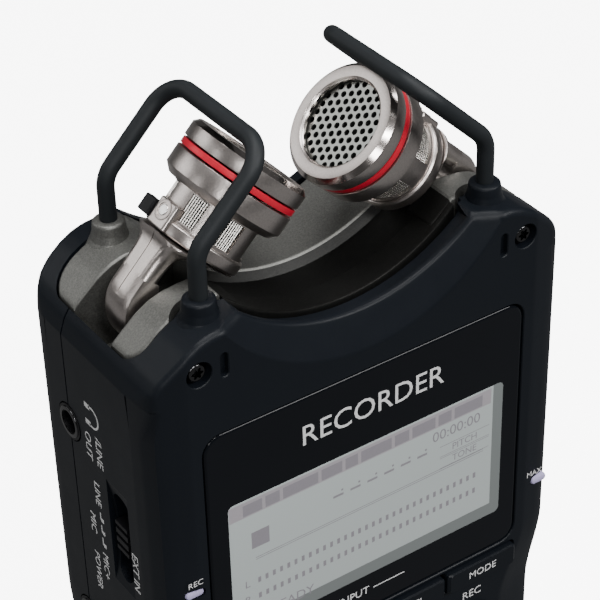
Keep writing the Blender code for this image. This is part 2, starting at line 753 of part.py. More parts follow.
# ---------------------------------------------------------------- microphone base
def build_mic_base(metal):
    """Die-cast saddle with the dish, four lobes, two arm slots and the rear collars."""
    middle, lobes, rear = pocket_shapes(0.0)
    base = add_object("mic_base", lobes, metal)
    join(base, middle, rear)
    keep_inside(base, prism(body_outline(DISH_RADIUS, DISH_Z, VALLEY_HALF - 0.4), "Y",
                            FRONT_Y, BACK_Y))
    floor = valley_points(DISH_RADIUS + DISH_FLOOR_DROP, DISH_Z, VALLEY_HALF - 4.0)
    floor += [(-VALLEY_HALF + 4.0, DISH_Z), (VALLEY_HALF - 4.0, DISH_Z)]
    cut(base, prism(floor, "Y", DISH_RIM_END_Y, DISH_STEP_Y))
    join(base, collar(ROD_BACK_Y))
    cut(base, rod_holes(ROD_BACK_Y))
    for side in (-1.0, 1.0):
        low, high = sorted((side * SLOT_INNER, side * (LOBE_OUTER + 2.0)))
        cut(base, box(low, high, SLOT_FRONT_Y, SLOT_BACK_Y, DECK_Z + FIT + 1.5,
                      SHOULDER_Z + SHOULDER_RISE + 6.0))
        bore = cylinder(HINGE_PIN_RADIUS + FIT, LOBE_FRONT_Y + 1.5, LOBE_BACK_Y - 2.0, 16)
        cut(base, along_y(bore, side * PIVOT_X, 0.0, PIVOT_Z))
        swing = cylinder(FLANGE_RADIUS + FIT, FLANGE_START - FIT, HEAD_START, 32)
        cut(base, placed(swing, ("Y", -side * MIC_LEAN), (side * PIVOT_X, MIC_Y, PIVOT_Z)))
    return base


# ---------------------------------------------------------------- microphones
def side_name(side):
    """Left for -1, right for +1."""
    return "left" if side < 0.0 else "right"


def mic_pivot(side):
    """Empty on the swing axis of one microphone, its Z along the arm."""
    empty = bpy.data.objects.new("mic_pivot_" + side_name(side), None)
    bpy.context.collection.objects.link(empty)
    empty.location = (side * PIVOT_X * MM, MIC_Y * MM, PIVOT_Z * MM)
    empty.rotation_euler = (0.0, math.radians(-side * MIC_LEAN), 0.0)
    return empty


def arm_outline(side):
    """Side view of the arm: a round knuckle that runs into a flat shank."""
    reach = ARM_END - 0.6
    inner_angle = 180.0 - math.degrees(math.acos(ARM_INNER / KNUCKLE_RADIUS))
    points = [(KNUCKLE_RADIUS, reach), (-ARM_INNER, reach)]
    points += arc((0.0, 0.0), KNUCKLE_RADIUS, inner_angle, 360.0, 26)
    return [(side * x, z) for x, z in points]


def build_arm(side, pivot, metal):
    """Arm with its knuckle, hinge bore, cable channel and the flange that carries the head."""
    half = ARM_WIDTH / 2.0
    arm = add_object("mic_arm_" + side_name(side), prism(arm_outline(side), "Y", -half, half),
                     metal, pivot)
    join(arm, cylinder(FLANGE_RADIUS, FLANGE_START, ARM_END, 28))
    bore = cylinder(HINGE_PIN_RADIUS + FIT, -ARM_WIDTH, ARM_WIDTH, 16)
    cut(arm, along_y(bore, 0.0, 0.0, 0.0))
    return arm


def build_hinge_pin(side, metal):
    """Pin across the slot that one arm swings on."""
    reach = FIT + 0.2
    pin = cylinder(HINGE_PIN_RADIUS, LOBE_FRONT_Y + 1.5 + reach, LOBE_BACK_Y - 2.0 - reach, 16)
    add_object("mic_hinge_pin_" + side_name(side), along_y(pin, side * PIVOT_X, 0.0, PIVOT_Z),
               metal)


def build_mic_body(side, pivot, metal):
    """Rear ring, open basket and head ring of one microphone, in one casting."""
    foot = ARM_END + FIT
    inner = BASKET_RADIUS - 1.0
    profile = [(inner, foot), (REAR_RING_RADIUS, foot), (REAR_RING_RADIUS, REAR_RING_END),
               (BASKET_RADIUS, REAR_RING_END), (BASKET_RADIUS, HEAD_START),
               (HEAD_RADIUS - 0.8, HEAD_START), (HEAD_RADIUS, HEAD_START + 0.9),
               (HEAD_RADIUS, HEAD_END), (HEAD_INNER, HEAD_END), (HEAD_INNER, HEAD_START + 1.0),
               (inner, HEAD_START + 1.0)]
    body = add_object("mic_body_" + side_name(side), turned(profile, 32), metal, pivot)
    for turn in (0.0, 90.0, 180.0, 270.0):
        window = box(inner - 1.5, BASKET_RADIUS + 1.0, -WINDOW_HALF, WINDOW_HALF,
                     REAR_RING_END + 0.5, HEAD_START - 0.5)
        cut(body, placed(window, ("Z", turn + 45.0)))
    low, high = sorted((side * (inner + 0.2), side * TAB_REACH))
    join(body, box(low, high, -TAB_HALF, TAB_HALF, foot, TAB_END))
    hole = cylinder(CLAMP_PIN_RADIUS + FIT, inner + 0.5, TAB_REACH + 1.0, 14)
    cut(body, placed(hole, ("Y", 90.0 * side), (0.0, 0.0, CLAMP_PIN_ALONG)))
    return body


def build_mic_small_parts(side, pivot, looks):
    """Woven sleeve, red ring, cap, grille, capsule, clamp pin and bumper of one microphone."""
    name = side_name(side)
    foot = ARM_END + FIT
    sleeve_outer = BASKET_RADIUS - 1.0 - FIT
    sleeve = [(sleeve_outer - 0.4, foot + 0.4), (sleeve_outer, foot + 0.4),
              (sleeve_outer, HEAD_START + 0.6), (sleeve_outer - 0.4, HEAD_START + 0.6)]
    add_object("mic_mesh_" + name, turned(sleeve, 24), looks["mesh"], pivot)

    ring_low = HEAD_END + FIT
    ring_high = ring_low + RED_RING
    band = [(HEAD_INNER, ring_low), (HEAD_RADIUS - 0.1, ring_low),
            (HEAD_RADIUS - 0.1, ring_high), (HEAD_INNER, ring_high)]
    add_object("mic_ring_" + name, turned(band, 32), looks["red"], pivot)

    cap_low = ring_high + FIT
    face = cap_low + CAP_LENGTH
    seat = face - CAP_LIP
    cap = [(HEAD_INNER, cap_low), (HEAD_RADIUS, cap_low), (HEAD_RADIUS, face - CAP_CHAMFER),
           (HEAD_RADIUS - CAP_CHAMFER, face), (CAP_OPENING + 0.25, face),
           (CAP_OPENING, face - 0.25), (CAP_OPENING, seat), (HEAD_INNER, seat)]
    add_object("mic_cap_" + name, turned(cap, 32), looks["metal"], pivot)

    grille_top = seat - FIT
    grille = cylinder(HEAD_INNER - FIT, grille_top - GRILLE_THICKNESS, grille_top, 32)
    add_object("mic_grille_" + name, grille, looks["grille"], pivot)

    capsule = cylinder(CAPSULE_RADIUS, foot + 1.5, grille_top - GRILLE_THICKNESS - 0.4, 20)
    add_object("mic_capsule_" + name, capsule, looks["black"], pivot)

    pin = cylinder(CLAMP_PIN_RADIUS, BASKET_RADIUS, TAB_REACH + 0.1, 14)
    add_object("mic_clamp_pin_" + name,
               placed(pin, ("Y", 90.0 * side), (0.0, 0.0, CLAMP_PIN_ALONG)),
               looks["bright"], pivot)

    low, high = sorted((side * REAR_RING_RADIUS, side * (TAB_REACH + 0.4)))
    bumper = box(low, high, TAB_HALF + FIT, TAB_HALF + FIT + BUMPER_DEPTH,
                 BUMPER_START, BUMPER_START + BUMPER_LENGTH)
    add_object("mic_bumper_" + name, bumper, looks["black"], pivot)


def build_guard_rod(side, rubber):
    """Bent round rod that arches over one microphone."""
    corners = [(ROD_X, ROD_FRONT_Y, ROD_FOOT_Z), (ROD_X, ROD_FRONT_Y, ROD_KNEE_Z),
               (ROD_TOP_X, ROD_FRONT_Y, ROD_TOP_Z), (ROD_TOP_X, ROD_BACK_Y, ROD_TOP_Z),
               (ROD_X, ROD_BACK_Y, ROD_KNEE_Z), (ROD_X, ROD_BACK_Y, ROD_FOOT_Z)]
    path = rounded_path([Vector((side * x, y, z)) for x, y, z in corners], ROD_BEND, 4)
    add_object("guard_rod_" + side_name(side), tube(path, ROD_RADIUS, 8), rubber)


def rounded_path(corners, radius, steps):
    """Polyline through corners with every inner corner rounded to a radius."""
    path = [corners[0]]
    for before, corner, after in zip(corners, corners[1:], corners[2:]):
        back = (before - corner).normalized()
        ahead = (after - corner).normalized()
        half = back.angle(ahead) / 2.0
        setback = radius / math.tan(half)
        middle = corner + (back + ahead).normalized() * (radius / math.sin(half))
        start = corner + back * setback - middle
        axis = start.cross(corner + ahead * setback - middle).normalized()
        sweep = math.pi - 2.0 * half
        for i in range(steps + 1):
            turn = Matrix.Rotation(sweep * i / steps, 3, axis)
            path.append(middle + turn @ start)
    path.append(corners[-1])
    return path


def tube(path, radius, sides):
    """Round tube along a polyline, without twist."""
    bm = bmesh.new()
    tangents = [(b - a).normalized() for a, b in zip(path, path[1:])]
    directions = [tangents[0]]
    directions += [(a + b).normalized() for a, b in zip(tangents, tangents[1:])]
    directions.append(tangents[-1])
    across = directions[0].orthogonal().normalized()
    rings = []
    for point, direction in zip(path, directions):
        across = (across - direction * across.dot(direction)).normalized()
        up = direction.cross(across)
        ring = []
        for i in range(sides):
            angle = 2.0 * math.pi * i / sides
            offset = across * math.cos(angle) + up * math.sin(angle)
            ring.append(bm.verts.new(point + offset * radius))
        rings.append(ring)
    close_tube(bm, rings)
    return bm


# ---------------------------------------------------------------- front panel
def key_cap(outline, flange_outline):
    """Key with a cap that stands proud and a flange that holds it behind the wall."""
    top = FRONT_Y - KEY_PROUD
    behind = FRONT_Y + FRONT_WALL + FIT
    bm = bmesh.new()
    shrink = 0.35
    middle_x = sum(x for x, _ in outline) / len(outline)
    middle_z = sum(z for _, z in outline) / len(outline)
    rings = [[bm.verts.new((x, y, z)) for x, z in points] for y, points in (
        (top, inward(outline, middle_x, middle_z, shrink)), (top + shrink, outline),
        (behind, outline))]
    flange = [[bm.verts.new((x, y, z)) for x, z in flange_outline]
              for y in (behind, behind + FLANGE)]
    for first, second in ((rings[0], rings[1]), (rings[1], rings[2]), (rings[2], flange[0]),
                          (flange[0], flange[1])):
        skin(bm, first, second)
    bm.faces.new(rings[0])
    bm.faces.new(flange[1])
    return bm


def inward(outline, middle_x, middle_z, amount):
    """Outline drawn in towards its middle by about the given amount."""
    points = []
    for x, z in outline:
        away = Vector((x - middle_x, z - middle_z))
        share = max(away.length - amount * 1.3, 0.0) / away.length
        points.append((middle_x + away.x * share, middle_z + away.y * share))
    return points


def build_row_keys(plastic):
    """Four slim keys in a row under the display."""
    low = ROW_KEY_TOP_Z - ROW_KEY_HEIGHT
    for index, name in enumerate(("escape_key", "input_key", "level_key", "rec_mode_key")):
        left, right = row_key_span(index)
        cap = rounded_rect(left, right, low, ROW_KEY_TOP_Z, 0.6, 2)
        base = rounded_rect(left, right, low - FLANGE, ROW_KEY_TOP_Z + FLANGE, 0.6, 2)
        add_object(name, key_cap(cap, base), plastic)


def circle_outline(x, z, radius, count):
    """Closed circle with its points in order."""
    return arc((x, z), radius, 0.0, 360.0 - 360.0 / count, count - 1)


def build_round_keys(plastic):
    """Stop and record buttons on either side of the pad."""
    for name, side in (("stop_button", -1.0), ("record_button", 1.0)):
        x = side * ROUND_KEY_X
        add_object(name, key_cap(circle_outline(x, ROUND_KEY_Z, ROUND_KEY_RADIUS, 20),
                                 circle_outline(x, ROUND_KEY_Z, ROUND_KEY_RADIUS + FLANGE, 20)),
                   plastic)


def build_pad(plastic):
    """Four-way ring and the play button in its middle."""
    top = FRONT_Y - KEY_PROUD
    behind = FRONT_Y + FRONT_WALL + FIT
    end = behind + FLANGE
    profile = [(PAD_HOLE_RADIUS, 0.0), (PAD_RADIUS - 0.5, 0.0), (PAD_RADIUS, 0.5),
               (PAD_RADIUS, behind - top), (PAD_RADIUS + FLANGE, behind - top),
               (PAD_RADIUS + FLANGE, end - top), (PAD_HOLE_RADIUS, end - top)]
    add_object("direction_pad", along_y(turned(profile, 28), 0.0, top, PAD_Z), plastic)
    button = [(0.0, 0.0), (PLAY_RADIUS - 0.5, 0.0), (PLAY_RADIUS, 0.4),
              (PLAY_RADIUS, end - top), (0.0, end - top)]
    add_object("play_button", along_y(turned(button, 28), 0.0, top, PAD_Z), plastic)


def build_small_keys(plastic):
    """Menu and quick keys below the pad."""
    for name, side in (("menu_key", -1.0), ("quick_key", 1.0)):
        add_object(name, key_cap(small_key_outline(side, 0.0), small_key_outline(side, FLANGE)),
                   plastic)


def build_display(looks):
    """Lens plate in its recess, and the liquid crystal panel behind it."""
    lens = prism(lens_outline(0.0), "Y", FRONT_Y, FRONT_Y + LENS_THICKNESS)
    add_object("display_lens", lens, looks["lens"])
    front = FRONT_Y + LENS_THICKNESS + FIT
    outline = rounded_rect(-LENS_HALF_WIDTH + LEDGE + FIT, LENS_HALF_WIDTH - LEDGE - FIT,
                           LENS_TOP_Z - LENS_HEIGHT + LEDGE + FIT, LENS_TOP_Z - LEDGE - FIT,
                           0.9, 2)
    add_object("lcd_panel", prism(outline, "Y", front, front + LCD_THICKNESS), looks["lcd"])


def build_lamps(looks):
    """Light pipes in the sloping edges of the front, flush with the bevel."""
    for name, (side, z) in LAMPS.items():
        lamp = add_object(name, lamp_block(side, z, 0.0), looks["lamp"])
        keep_inside(lamp, body_block())


def build_screws(looks):
    """Screws in the front corners and in the upper corners of the back."""
    for side in (-1.0, 1.0):
        front = along_y(screw(), side * SCREW_X, FRONT_Y + 1.9, SCREW_Z)
        add_object("front_screw_" + side_name(side), front, looks["screw"])
        back = placed(screw(), ("X", 90.0), (side * REAR_SCREW_X, BACK_Y - 1.3, REAR_SCREW_Z))
        add_object("rear_screw_" + side_name(side), back, looks["screw"])


def screw():
    """Pan head of one screw, its top towards -Z."""
    profile = [(0.0, -0.8), (SCREW_HEAD * 0.6, -0.75), (SCREW_HEAD, -0.35), (SCREW_HEAD, 0.0),
               (0.0, 0.0)]
    return turned(profile, 14)


# ---------------------------------------------------------------- inside and fittings
def build_board(looks):
    """Main circuit board with its larger packages and the card socket."""
    back = BOARD_Y + BOARD_THICKNESS
    low = COMBO_LENGTH + BOARD_TO_COMBO
    outline = rounded_rect(-BOARD_HALF, BOARD_HALF, low, LENS_TOP_Z - LEDGE, 2.0, 2)
    board = add_object("main_board", prism(outline, "Y", BOARD_Y, back), looks["board"])
    packages = bmesh.new()
    for x, z, width, tall in ((-12.0, 92.0, 14.0, 14.0), (8.0, 96.0, 10.0, 8.0),
                              (-8.0, 70.0, 12.0, 6.0)):
        box(x - width / 2.0, x + width / 2.0, back - 0.5, back + 1.1, z - tall / 2.0,
            z + tall / 2.0, packages)
    box(BOARD_HALF - 18.0, BOARD_HALF - 1.0, back - 0.5, back + 2.6, DOOR_LOW_Z, DOOR_HIGH_Z,
        packages)
    join(board, packages)


def cell_x(index):
    """Middle of one battery cell."""
    return (index - 1) * CELL_PITCH


def build_batteries(looks):
    """Three cells side by side and the coil springs at their feet."""
    for index in range(3):
        top = CELL_Z + CELL_LENGTH
        profile = [(0.0, CELL_Z), (CELL_RADIUS, CELL_Z), (CELL_RADIUS, top - 0.6),
                   (CELL_RADIUS - 0.6, top), (2.6, top), (2.6, top + CELL_NIPPLE),
                   (0.0, top + CELL_NIPPLE)]
        cell = placed(turned(profile, 24), shift=(cell_x(index), CELL_Y, 0.0))
        add_object("battery_cell_%d" % (index + 1), cell, looks["cell"])
    foot = CELL_Z - FIT - SPRING_LENGTH
    half = CELL_PITCH + CELL_RADIUS
    springs = add_object("battery_springs",
                         box(-half, half, CELL_Y - 4.0, CELL_Y + 4.0, foot - 0.6, foot),
                         looks["bright"])
    join(springs, *[placed(coil(), shift=(cell_x(index), CELL_Y, 0.0)) for index in range(3)])


def coil():
    """Conical compression spring that a cell rests on."""
    steps = int(SPRING_TURNS * 8)
    low = CELL_Z - FIT - SPRING_LENGTH
    high = CELL_Z - FIT - SPRING_WIRE
    path = []
    for i in range(steps + 1):
        share = i / steps
        radius = 3.4 - 1.2 * share
        angle = 2.0 * math.pi * SPRING_TURNS * share
        path.append(Vector((radius * math.cos(angle), radius * math.sin(angle),
                            low + (high - low) * share)))
    return tube(path, SPRING_WIRE, 4)


def build_battery_cover(looks):
    """Cover over the battery bay; it slides off past the bottom end."""
    cover = add_object("battery_cover",
                       box(-COVER_HALF_WIDTH, COVER_HALF_WIDTH, BACK_Y - COVER_THICKNESS, BACK_Y,
                           0.4, COVER_TOP_Z), looks["plastic"])
    grips = bmesh.new()
    for i in range(4):
        z = COVER_TOP_Z - 8.0 - 2.2 * i
        box(-8.0, 8.0, BACK_Y - 0.5, BACK_Y + 1.0, z - 0.5, z + 0.5, grips)
    cut(cover, grips)


def build_combo_jacks(looks):
    """Two combination microphone and line sockets in the bottom end."""
    for side in (-1.0, 1.0):
        x = side * COMBO_X
        jack = add_object("combo_jack_" + side_name(side),
                          combo_shape(x, COMBO_RADIUS, 0.3, COMBO_LENGTH), looks["black"])
        cut(jack, combo_shape(x, COMBO_BORE, -1.0, COMBO_LENGTH - 1.5, 20))
        for turn in (90.0, 210.0, 330.0):
            angle = math.radians(turn)
            hole = cylinder(COMBO_PIN_BORE, -1.0, 12.0, 12)
            cut(jack, placed(hole, shift=(x + COMBO_PIN_CIRCLE * math.cos(angle),
                                          COMBO_Y + COMBO_PIN_CIRCLE * math.sin(angle), 0.0)))


def build_mini_jacks(looks):
    """Headphone and remote sockets in the left wall."""
    for name, z in (("headphone_jack", HEADPHONE_Z), ("remote_jack", REMOTE_Z)):
        profile = [(MINI_JACK_BORE, PROUD), (MINI_JACK_OUTER, PROUD), (MINI_JACK_OUTER, -2.6),
                   (MINI_JACK_OUTER - 0.2, -MINI_JACK_LENGTH), (MINI_JACK_BORE,
                                                                -MINI_JACK_LENGTH)]
        jack = turned(profile, 20)
        add_object(name, along_x(jack, -1.0, -BODY_HALF_WIDTH, HEADPHONE_Y, z), looks["jack"])


def build_sliders(looks):
    """Slide switches: input selector on the left, power and hold on the right."""
    for name, side in (("input_slider", -1.0), ("power_slider", 1.0)):
        half = SLIDER_WIDTH / 2.0
        knob = side_block(side, BODY_HALF_WIDTH - 0.2, 4.2, SLIDER_Y - half + 0.1,
                          SLIDER_Y + half - 0.1, SLIDER_Z - SLIDER_HALF, SLIDER_Z + SLIDER_HALF)
        slider = add_object(name, knob, looks["black"])
        length = SLIDER_SLOT_HALF + SLIDER_TRAVEL + 1.0
        inner_wall = BODY_HALF_WIDTH - WALL - 1.5 - FIT
        join(slider, side_block(side, inner_wall, 1.0, SLIDER_Y - half - 1.0,
                                SLIDER_Y + half + 1.0, SLIDER_Z - length, SLIDER_Z + length))
        ribs = bmesh.new()
        for i in (-1, 0, 1):
            z = SLIDER_Z + 1.6 * i
            append(ribs, side_block(side, BODY_HALF_WIDTH + 1.0, 1.6, SLIDER_Y - half - 0.5,
                                    SLIDER_Y + half + 0.5, z - 0.35, z + 0.35))
        cut(slider, ribs)


def build_rocker(looks):
    """Volume rocker in the right wall, on a crosswise pin axis."""
    add_object("volume_rocker", rocker_block(0.0), looks["black"])


def build_door(looks):
    """Hinged door over the card slot in the right wall."""
    door = side_block(1.0, BODY_HALF_WIDTH - 1.2, DOOR_THICKNESS, DOOR_FRONT_Y, DOOR_BACK_Y,
                      DOOR_LOW_Z, DOOR_HIGH_Z)
    add_object("card_door", door, looks["plastic"])


def build_tripod_nut(looks):
    """Threaded insert in the back for a camera stand."""
    nut = cylinder(TRIPOD_RADIUS, -TRIPOD_LENGTH, 0.0, 24)
    insert = add_object("tripod_nut", along_y(nut, 0.0, BACK_Y, TRIPOD_Z), looks["brass"])
    bore = cylinder(TRIPOD_BORE, -TRIPOD_LENGTH + 1.2, 1.0, 20)
    cut(insert, along_y(bore, 0.0, BACK_Y, TRIPOD_Z))


def build_speaker(looks):
    """Small loudspeaker behind the slots in the back."""
    front = BACK_Y - REAR_WALL - FIT
    profile = [(0.0, 0.0), (2.6, 0.0), (3.4, 0.9), (SPEAKER_RADIUS - 1.2, 0.3),
               (SPEAKER_RADIUS, 0.0), (SPEAKER_RADIUS, 1.4), (4.5, 3.6), (0.0, 3.6)]
    speaker = placed(turned(profile, 24), ("X", 90.0), (SPEAKER_X, front, SPEAKER_Z))
    add_object("speaker", speaker, looks["black"])


def make_looks():
    """All materials of the object by short name."""
    return {
        "plastic": material("blue_black_plastic", (0.010, 0.012, 0.015), 0.5, 0.0),
        "metal": material("champagne_gunmetal", (0.26, 0.23, 0.21), 0.35, 1.0),
        "base": material("speckled_gunmetal", (0.17, 0.17, 0.16), 0.5, 0.9),
        "red": material("red_anodised", (0.60, 0.01, 0.03), 0.35, 0.3),
        "mesh": material("woven_steel", (0.45, 0.45, 0.43), 0.4, 1.0),
        "grille": material("perforated_steel", (0.30, 0.31, 0.30), 0.4, 1.0),
        "bright": material("bright_steel", (0.75, 0.74, 0.72), 0.25, 1.0),
        "rubber": material("slate_rubber", (0.027, 0.032, 0.036), 0.7, 0.0),
        "black": material("black_plastic", (0.006, 0.006, 0.007), 0.4, 0.0),
        "lens": material("smoked_lens", (0.012, 0.012, 0.016), 0.1, 0.0),
        "lcd": material("grey_green_crystal", (0.33, 0.36, 0.35), 0.4, 0.0),
        "lamp": material("pale_lamp", (0.55, 0.52, 0.66), 0.3, 0.0),
        "screw": material("black_screw", (0.01, 0.01, 0.01), 0.25, 0.8),
        "board": material("green_board", (0.01, 0.10, 0.04), 0.5, 0.0),
        "cell": material("cell_wrap", (0.05, 0.05, 0.06), 0.35, 0.2),
        "jack": material("jack_ring", (0.02, 0.02, 0.02), 0.3, 0.6),
        "brass": material("brass", (0.70, 0.50, 0.18), 0.3, 1.0),
        "key": material("key_plastic", (0.012, 0.013, 0.016), 0.45, 0.0),
    }


def main():
    """Build every piece of the recorder."""
    clear_scene()
    looks = make_looks()
    build_front_shell(looks["plastic"])
    build_rear_shell(looks["plastic"])
    build_mic_base(looks["base"])
    for side in (-1.0, 1.0):
        pivot = mic_pivot(side)
        build_arm(side, pivot, looks["metal"])
        build_hinge_pin(side, looks["bright"])
        build_mic_body(side, pivot, looks["metal"])
        build_mic_small_parts(side, pivot, looks)
        build_guard_rod(side, looks["rubber"])
    build_display(looks)
    build_row_keys(looks["key"])
    build_round_keys(looks["key"])
    build_pad(looks["key"])
    build_small_keys(looks["key"])
    build_lamps(looks)
    build_screws(looks)
    build_board(looks)
    build_batteries(looks)
    build_battery_cover(looks)
    build_combo_jacks(looks)
    build_mini_jacks(looks)
    build_sliders(looks)
    build_rocker(looks)
    build_door(looks)
    build_tripod_nut(looks)
    build_speaker(looks)


main()
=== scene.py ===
"""Looks of the handheld stereo recorder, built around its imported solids.

All sizes in the helpers and operators are in millimetres, and put() turns them into metres.
X runs to the right, Y from the display face to the back, Z up to the microphones.
"""

import json
import math

import bmesh
import bpy
from mathutils import Matrix, Vector


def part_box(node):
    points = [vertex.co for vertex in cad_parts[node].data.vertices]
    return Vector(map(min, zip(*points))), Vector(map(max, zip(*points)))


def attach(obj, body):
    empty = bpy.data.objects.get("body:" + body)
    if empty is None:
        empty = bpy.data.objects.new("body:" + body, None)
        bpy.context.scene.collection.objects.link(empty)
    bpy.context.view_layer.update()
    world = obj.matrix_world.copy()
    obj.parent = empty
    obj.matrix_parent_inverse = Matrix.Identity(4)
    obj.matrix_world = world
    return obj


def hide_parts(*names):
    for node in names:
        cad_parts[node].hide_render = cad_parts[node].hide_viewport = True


bl_info = {
    "name": "Handheld Recorder Looks",
    "version": (1, 0, 0),
    "blender": (4, 5, 0),
    "location": "3D View > Sidebar > Recorder",
    "description": "Adds the finished surfaces of a handheld stereo recorder to its solids",
    "category": "Object",
}

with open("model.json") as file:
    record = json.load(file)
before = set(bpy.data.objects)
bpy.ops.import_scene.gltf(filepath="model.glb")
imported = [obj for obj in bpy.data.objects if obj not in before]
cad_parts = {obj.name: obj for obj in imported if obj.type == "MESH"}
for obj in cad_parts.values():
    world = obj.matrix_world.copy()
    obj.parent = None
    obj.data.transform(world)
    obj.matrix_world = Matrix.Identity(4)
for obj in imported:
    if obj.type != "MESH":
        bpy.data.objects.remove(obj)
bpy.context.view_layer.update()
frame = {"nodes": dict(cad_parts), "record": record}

MM = 0.001
SIDES = (("left", -1.0), ("right", 1.0))
JOINTS = {joint["name"]: joint for joint in frame["record"]["behaviour"]["joints"]}
NODE_BODY = {node: body for body, nodes in frame["record"]["behaviour"]["bodies"].items()
             for node in nodes}
HOUSING = NODE_BODY["front_shell"]


def mm_box(node):
    """Lowest and highest corner of a solid, in millimetres."""
    return [Vector(corner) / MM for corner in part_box(node)]


SHELL_LOW, SHELL_HIGH = mm_box("front_shell")
LENS_LOW, LENS_HIGH = mm_box("display_lens")
FRONT_Y = LENS_LOW.y
PIVOTS = {name: Vector(JOINTS[name + "_microphone_swing"]["pos_m"]) / MM for name, _ in SIDES}


# ---------------------------------------------------------------- shader helpers
class Wire:
    """One output of a shader tree, with the operators that shader maths needs."""

    def __init__(self, tree, socket):
        self.tree = tree
        self.socket = socket

    def maths(self, operation, first, second):
        return self.tree.node("Math", {"operation": operation}, first, second)

    def __add__(self, other):
        return self.maths("ADD", self, other)

    def __sub__(self, other):
        return self.maths("SUBTRACT", self, other)

    def __rsub__(self, other):
        return self.maths("SUBTRACT", other, self)

    def __mul__(self, other):
        return self.maths("MULTIPLY", self, other)

    def __truediv__(self, other):
        return self.maths("DIVIDE", self, other)

    def __gt__(self, other):
        return self.maths("GREATER_THAN", self, other)

    def __lt__(self, other):
        return self.maths("LESS_THAN", self, other)

    def clamped(self):
        return self.tree.node("Clamp", {}, self)

    __radd__ = __add__
    __rmul__ = __mul__


class Tree:
    """A material's node tree with one method that makes and wires a node."""

    def __init__(self, name):
        self.material = bpy.data.materials.new(name)
        self.material.use_nodes = True
        self.nodes = self.material.node_tree.nodes
        self.links = self.material.node_tree.links
        self.shader = self.nodes["Principled BSDF"]

    def node(self, kind, settings, *values, output=0, **named):
        """One node with its settings, and its sockets fed in order or by name."""
        made = self.nodes.new("ShaderNode" + kind)
        stops = settings.pop("stops", None)
        for key, value in settings.items():
            setattr(made, key, value)
        if stops:
            ramp = made.color_ramp
            while len(ramp.elements) < len(stops):
                ramp.elements.new(1.0)
            for element, (place, colour) in zip(ramp.elements, stops):
                element.position = place
                element.color = colour
        for socket, value in list(zip(made.inputs, values)):
            self.feed(socket, value)
        for key, value in named.items():
            self.feed(made.inputs[key.replace("_", " ")], value)
        return Wire(self, made.outputs[output])

    def feed(self, socket, value):
        if isinstance(value, Wire):
            self.links.new(value.socket, socket)
        else:
            socket.default_value = value

    def place(self):
        """Object coordinates, in metres."""
        return self.node("TexCoord", {}, output=3)

    def noise(self, scale, detail=2.0, roughness=0.5):
        return self.node("TexNoise", {}, Vector=self.place(), Scale=scale, Detail=detail,
                         Roughness=roughness)

    def cells(self, scale):
        return self.node("TexVoronoi", {}, Vector=self.place(), Scale=scale)

    def mix(self, share, first, second):
        """Blend two colours."""
        made = self.nodes.new("ShaderNodeMix")
        made.data_type = "RGBA"
        self.feed(made.inputs["Factor"], share)
        self.feed(made.inputs[6], first)
        self.feed(made.inputs[7], second)
        return Wire(self, made.outputs[2])

    def bump(self, height, distance, strength=1.0):
        return self.node("Bump", {}, Height=height, Distance=distance, Strength=strength)

    def split(self):
        """X, Y and Z of a point, as three wires in metres."""
        made = self.nodes.new("ShaderNodeSeparateXYZ")
        self.feed(made.inputs[0], self.place())
        return [Wire(self, out) for out in made.outputs]

    def finish(self, **sockets):
        """Feed the shader's sockets, named with underscores, and give the material back."""
        for key, value in sockets.items():
            self.feed(self.shader.inputs[key.replace("_", " ")], value)
        return self.material


def rgba(red, green, blue):
    """A colour with full opacity."""
    return (red, green, blue, 1.0)


def shade(colour, factor):
    """A colour made lighter or darker."""
    return rgba(*(channel * factor for channel in colour[:3]))


# ---------------------------------------------------------------- finishes
FINE_DEPTH = 0.00002    # depth of a fine moulded texture, in metres
SHADED_DISH_HALF = 19.3        # painted shade darkens the saddle's paint within this half width
SHADED_DISH_BACK_Y = 2.2       # and in front of this place


def moulded_plastic(name, colour, roughness, grain=5200.0):
    """Moulded plastic with a fine spark-eroded texture and faint handling marks."""
    tree = Tree(name)
    fine = tree.noise(grain, 3.0, 0.6)
    broad = tree.noise(60.0, 2.0)
    smudge = tree.noise(240.0, 4.0, 0.6)
    tint = tree.mix(broad * 0.5 + fine * 0.5, shade(colour, 0.8), shade(colour, 1.25))
    rough = roughness - 0.08 + smudge * 0.1 + fine * 0.08
    return tree.finish(Base_Color=tint, Roughness=rough, Specular_IOR_Level=0.16,
                       Normal=tree.bump(fine, FINE_DEPTH, 0.55))


def speckled_paint(name, dark, light, roughness, metal):
    """Metallic paint whose flakes sparkle unevenly, with painted shade darkening it in the front
    of the dish.
    """
    tree = Tree(name)
    x, y, _ = tree.split()
    # painted shade: mask of the dish's front, where shade falls
    dish_shade_mask = ((x > -SHADED_DISH_HALF * MM) * (x < SHADED_DISH_HALF * MM) * (y < SHADED_DISH_BACK_Y * MM)).clamped()
    flakes = tree.cells(4200.0)
    grain = tree.noise(3000.0, 2.0, 0.7)
    cloud = tree.noise(110.0, 2.0)
    # Shank that rises from the knuckle and flares into the rear ring.
    share = (flakes * 0.55 + grain * 0.65 + cloud * 0.15 - 0.18).clamped()
    rough = roughness + grain * 0.2 - 0.1
    paint = tree.mix(share, dark, light)
    # painted shade: near-black copy of the paint for the shaded front of the dish
    painted_dish_shade = tree.mix(share, shade(dark, 0.07), shade(light, 0.09))
    return tree.finish(Base_Color=tree.mix(dish_shade_mask, paint, painted_dish_shade), Roughness=rough, Metallic=metal,
                       Normal=tree.bump(grain, 0.00003, 0.6))


def plated_metal(name, colour, roughness, sparkle=0.25):
    """Plated casting: fine peened grain under a soft shine."""
    tree = Tree(name)
    grain = tree.noise(3600.0, 3.0, 0.65)
    stain = tree.noise(180.0, 3.0)
    tint = tree.mix((grain * 1.2 - 0.1).clamped(), shade(colour, 1.0 - sparkle),
                    shade(colour, 1.0 + sparkle))
    rough = roughness - 0.06 + stain * 0.08 + grain * 0.08
    return tree.finish(Base_Color=tint, Roughness=rough, Metallic=1.0,
                       Normal=tree.bump(grain, 0.000025, 0.5))


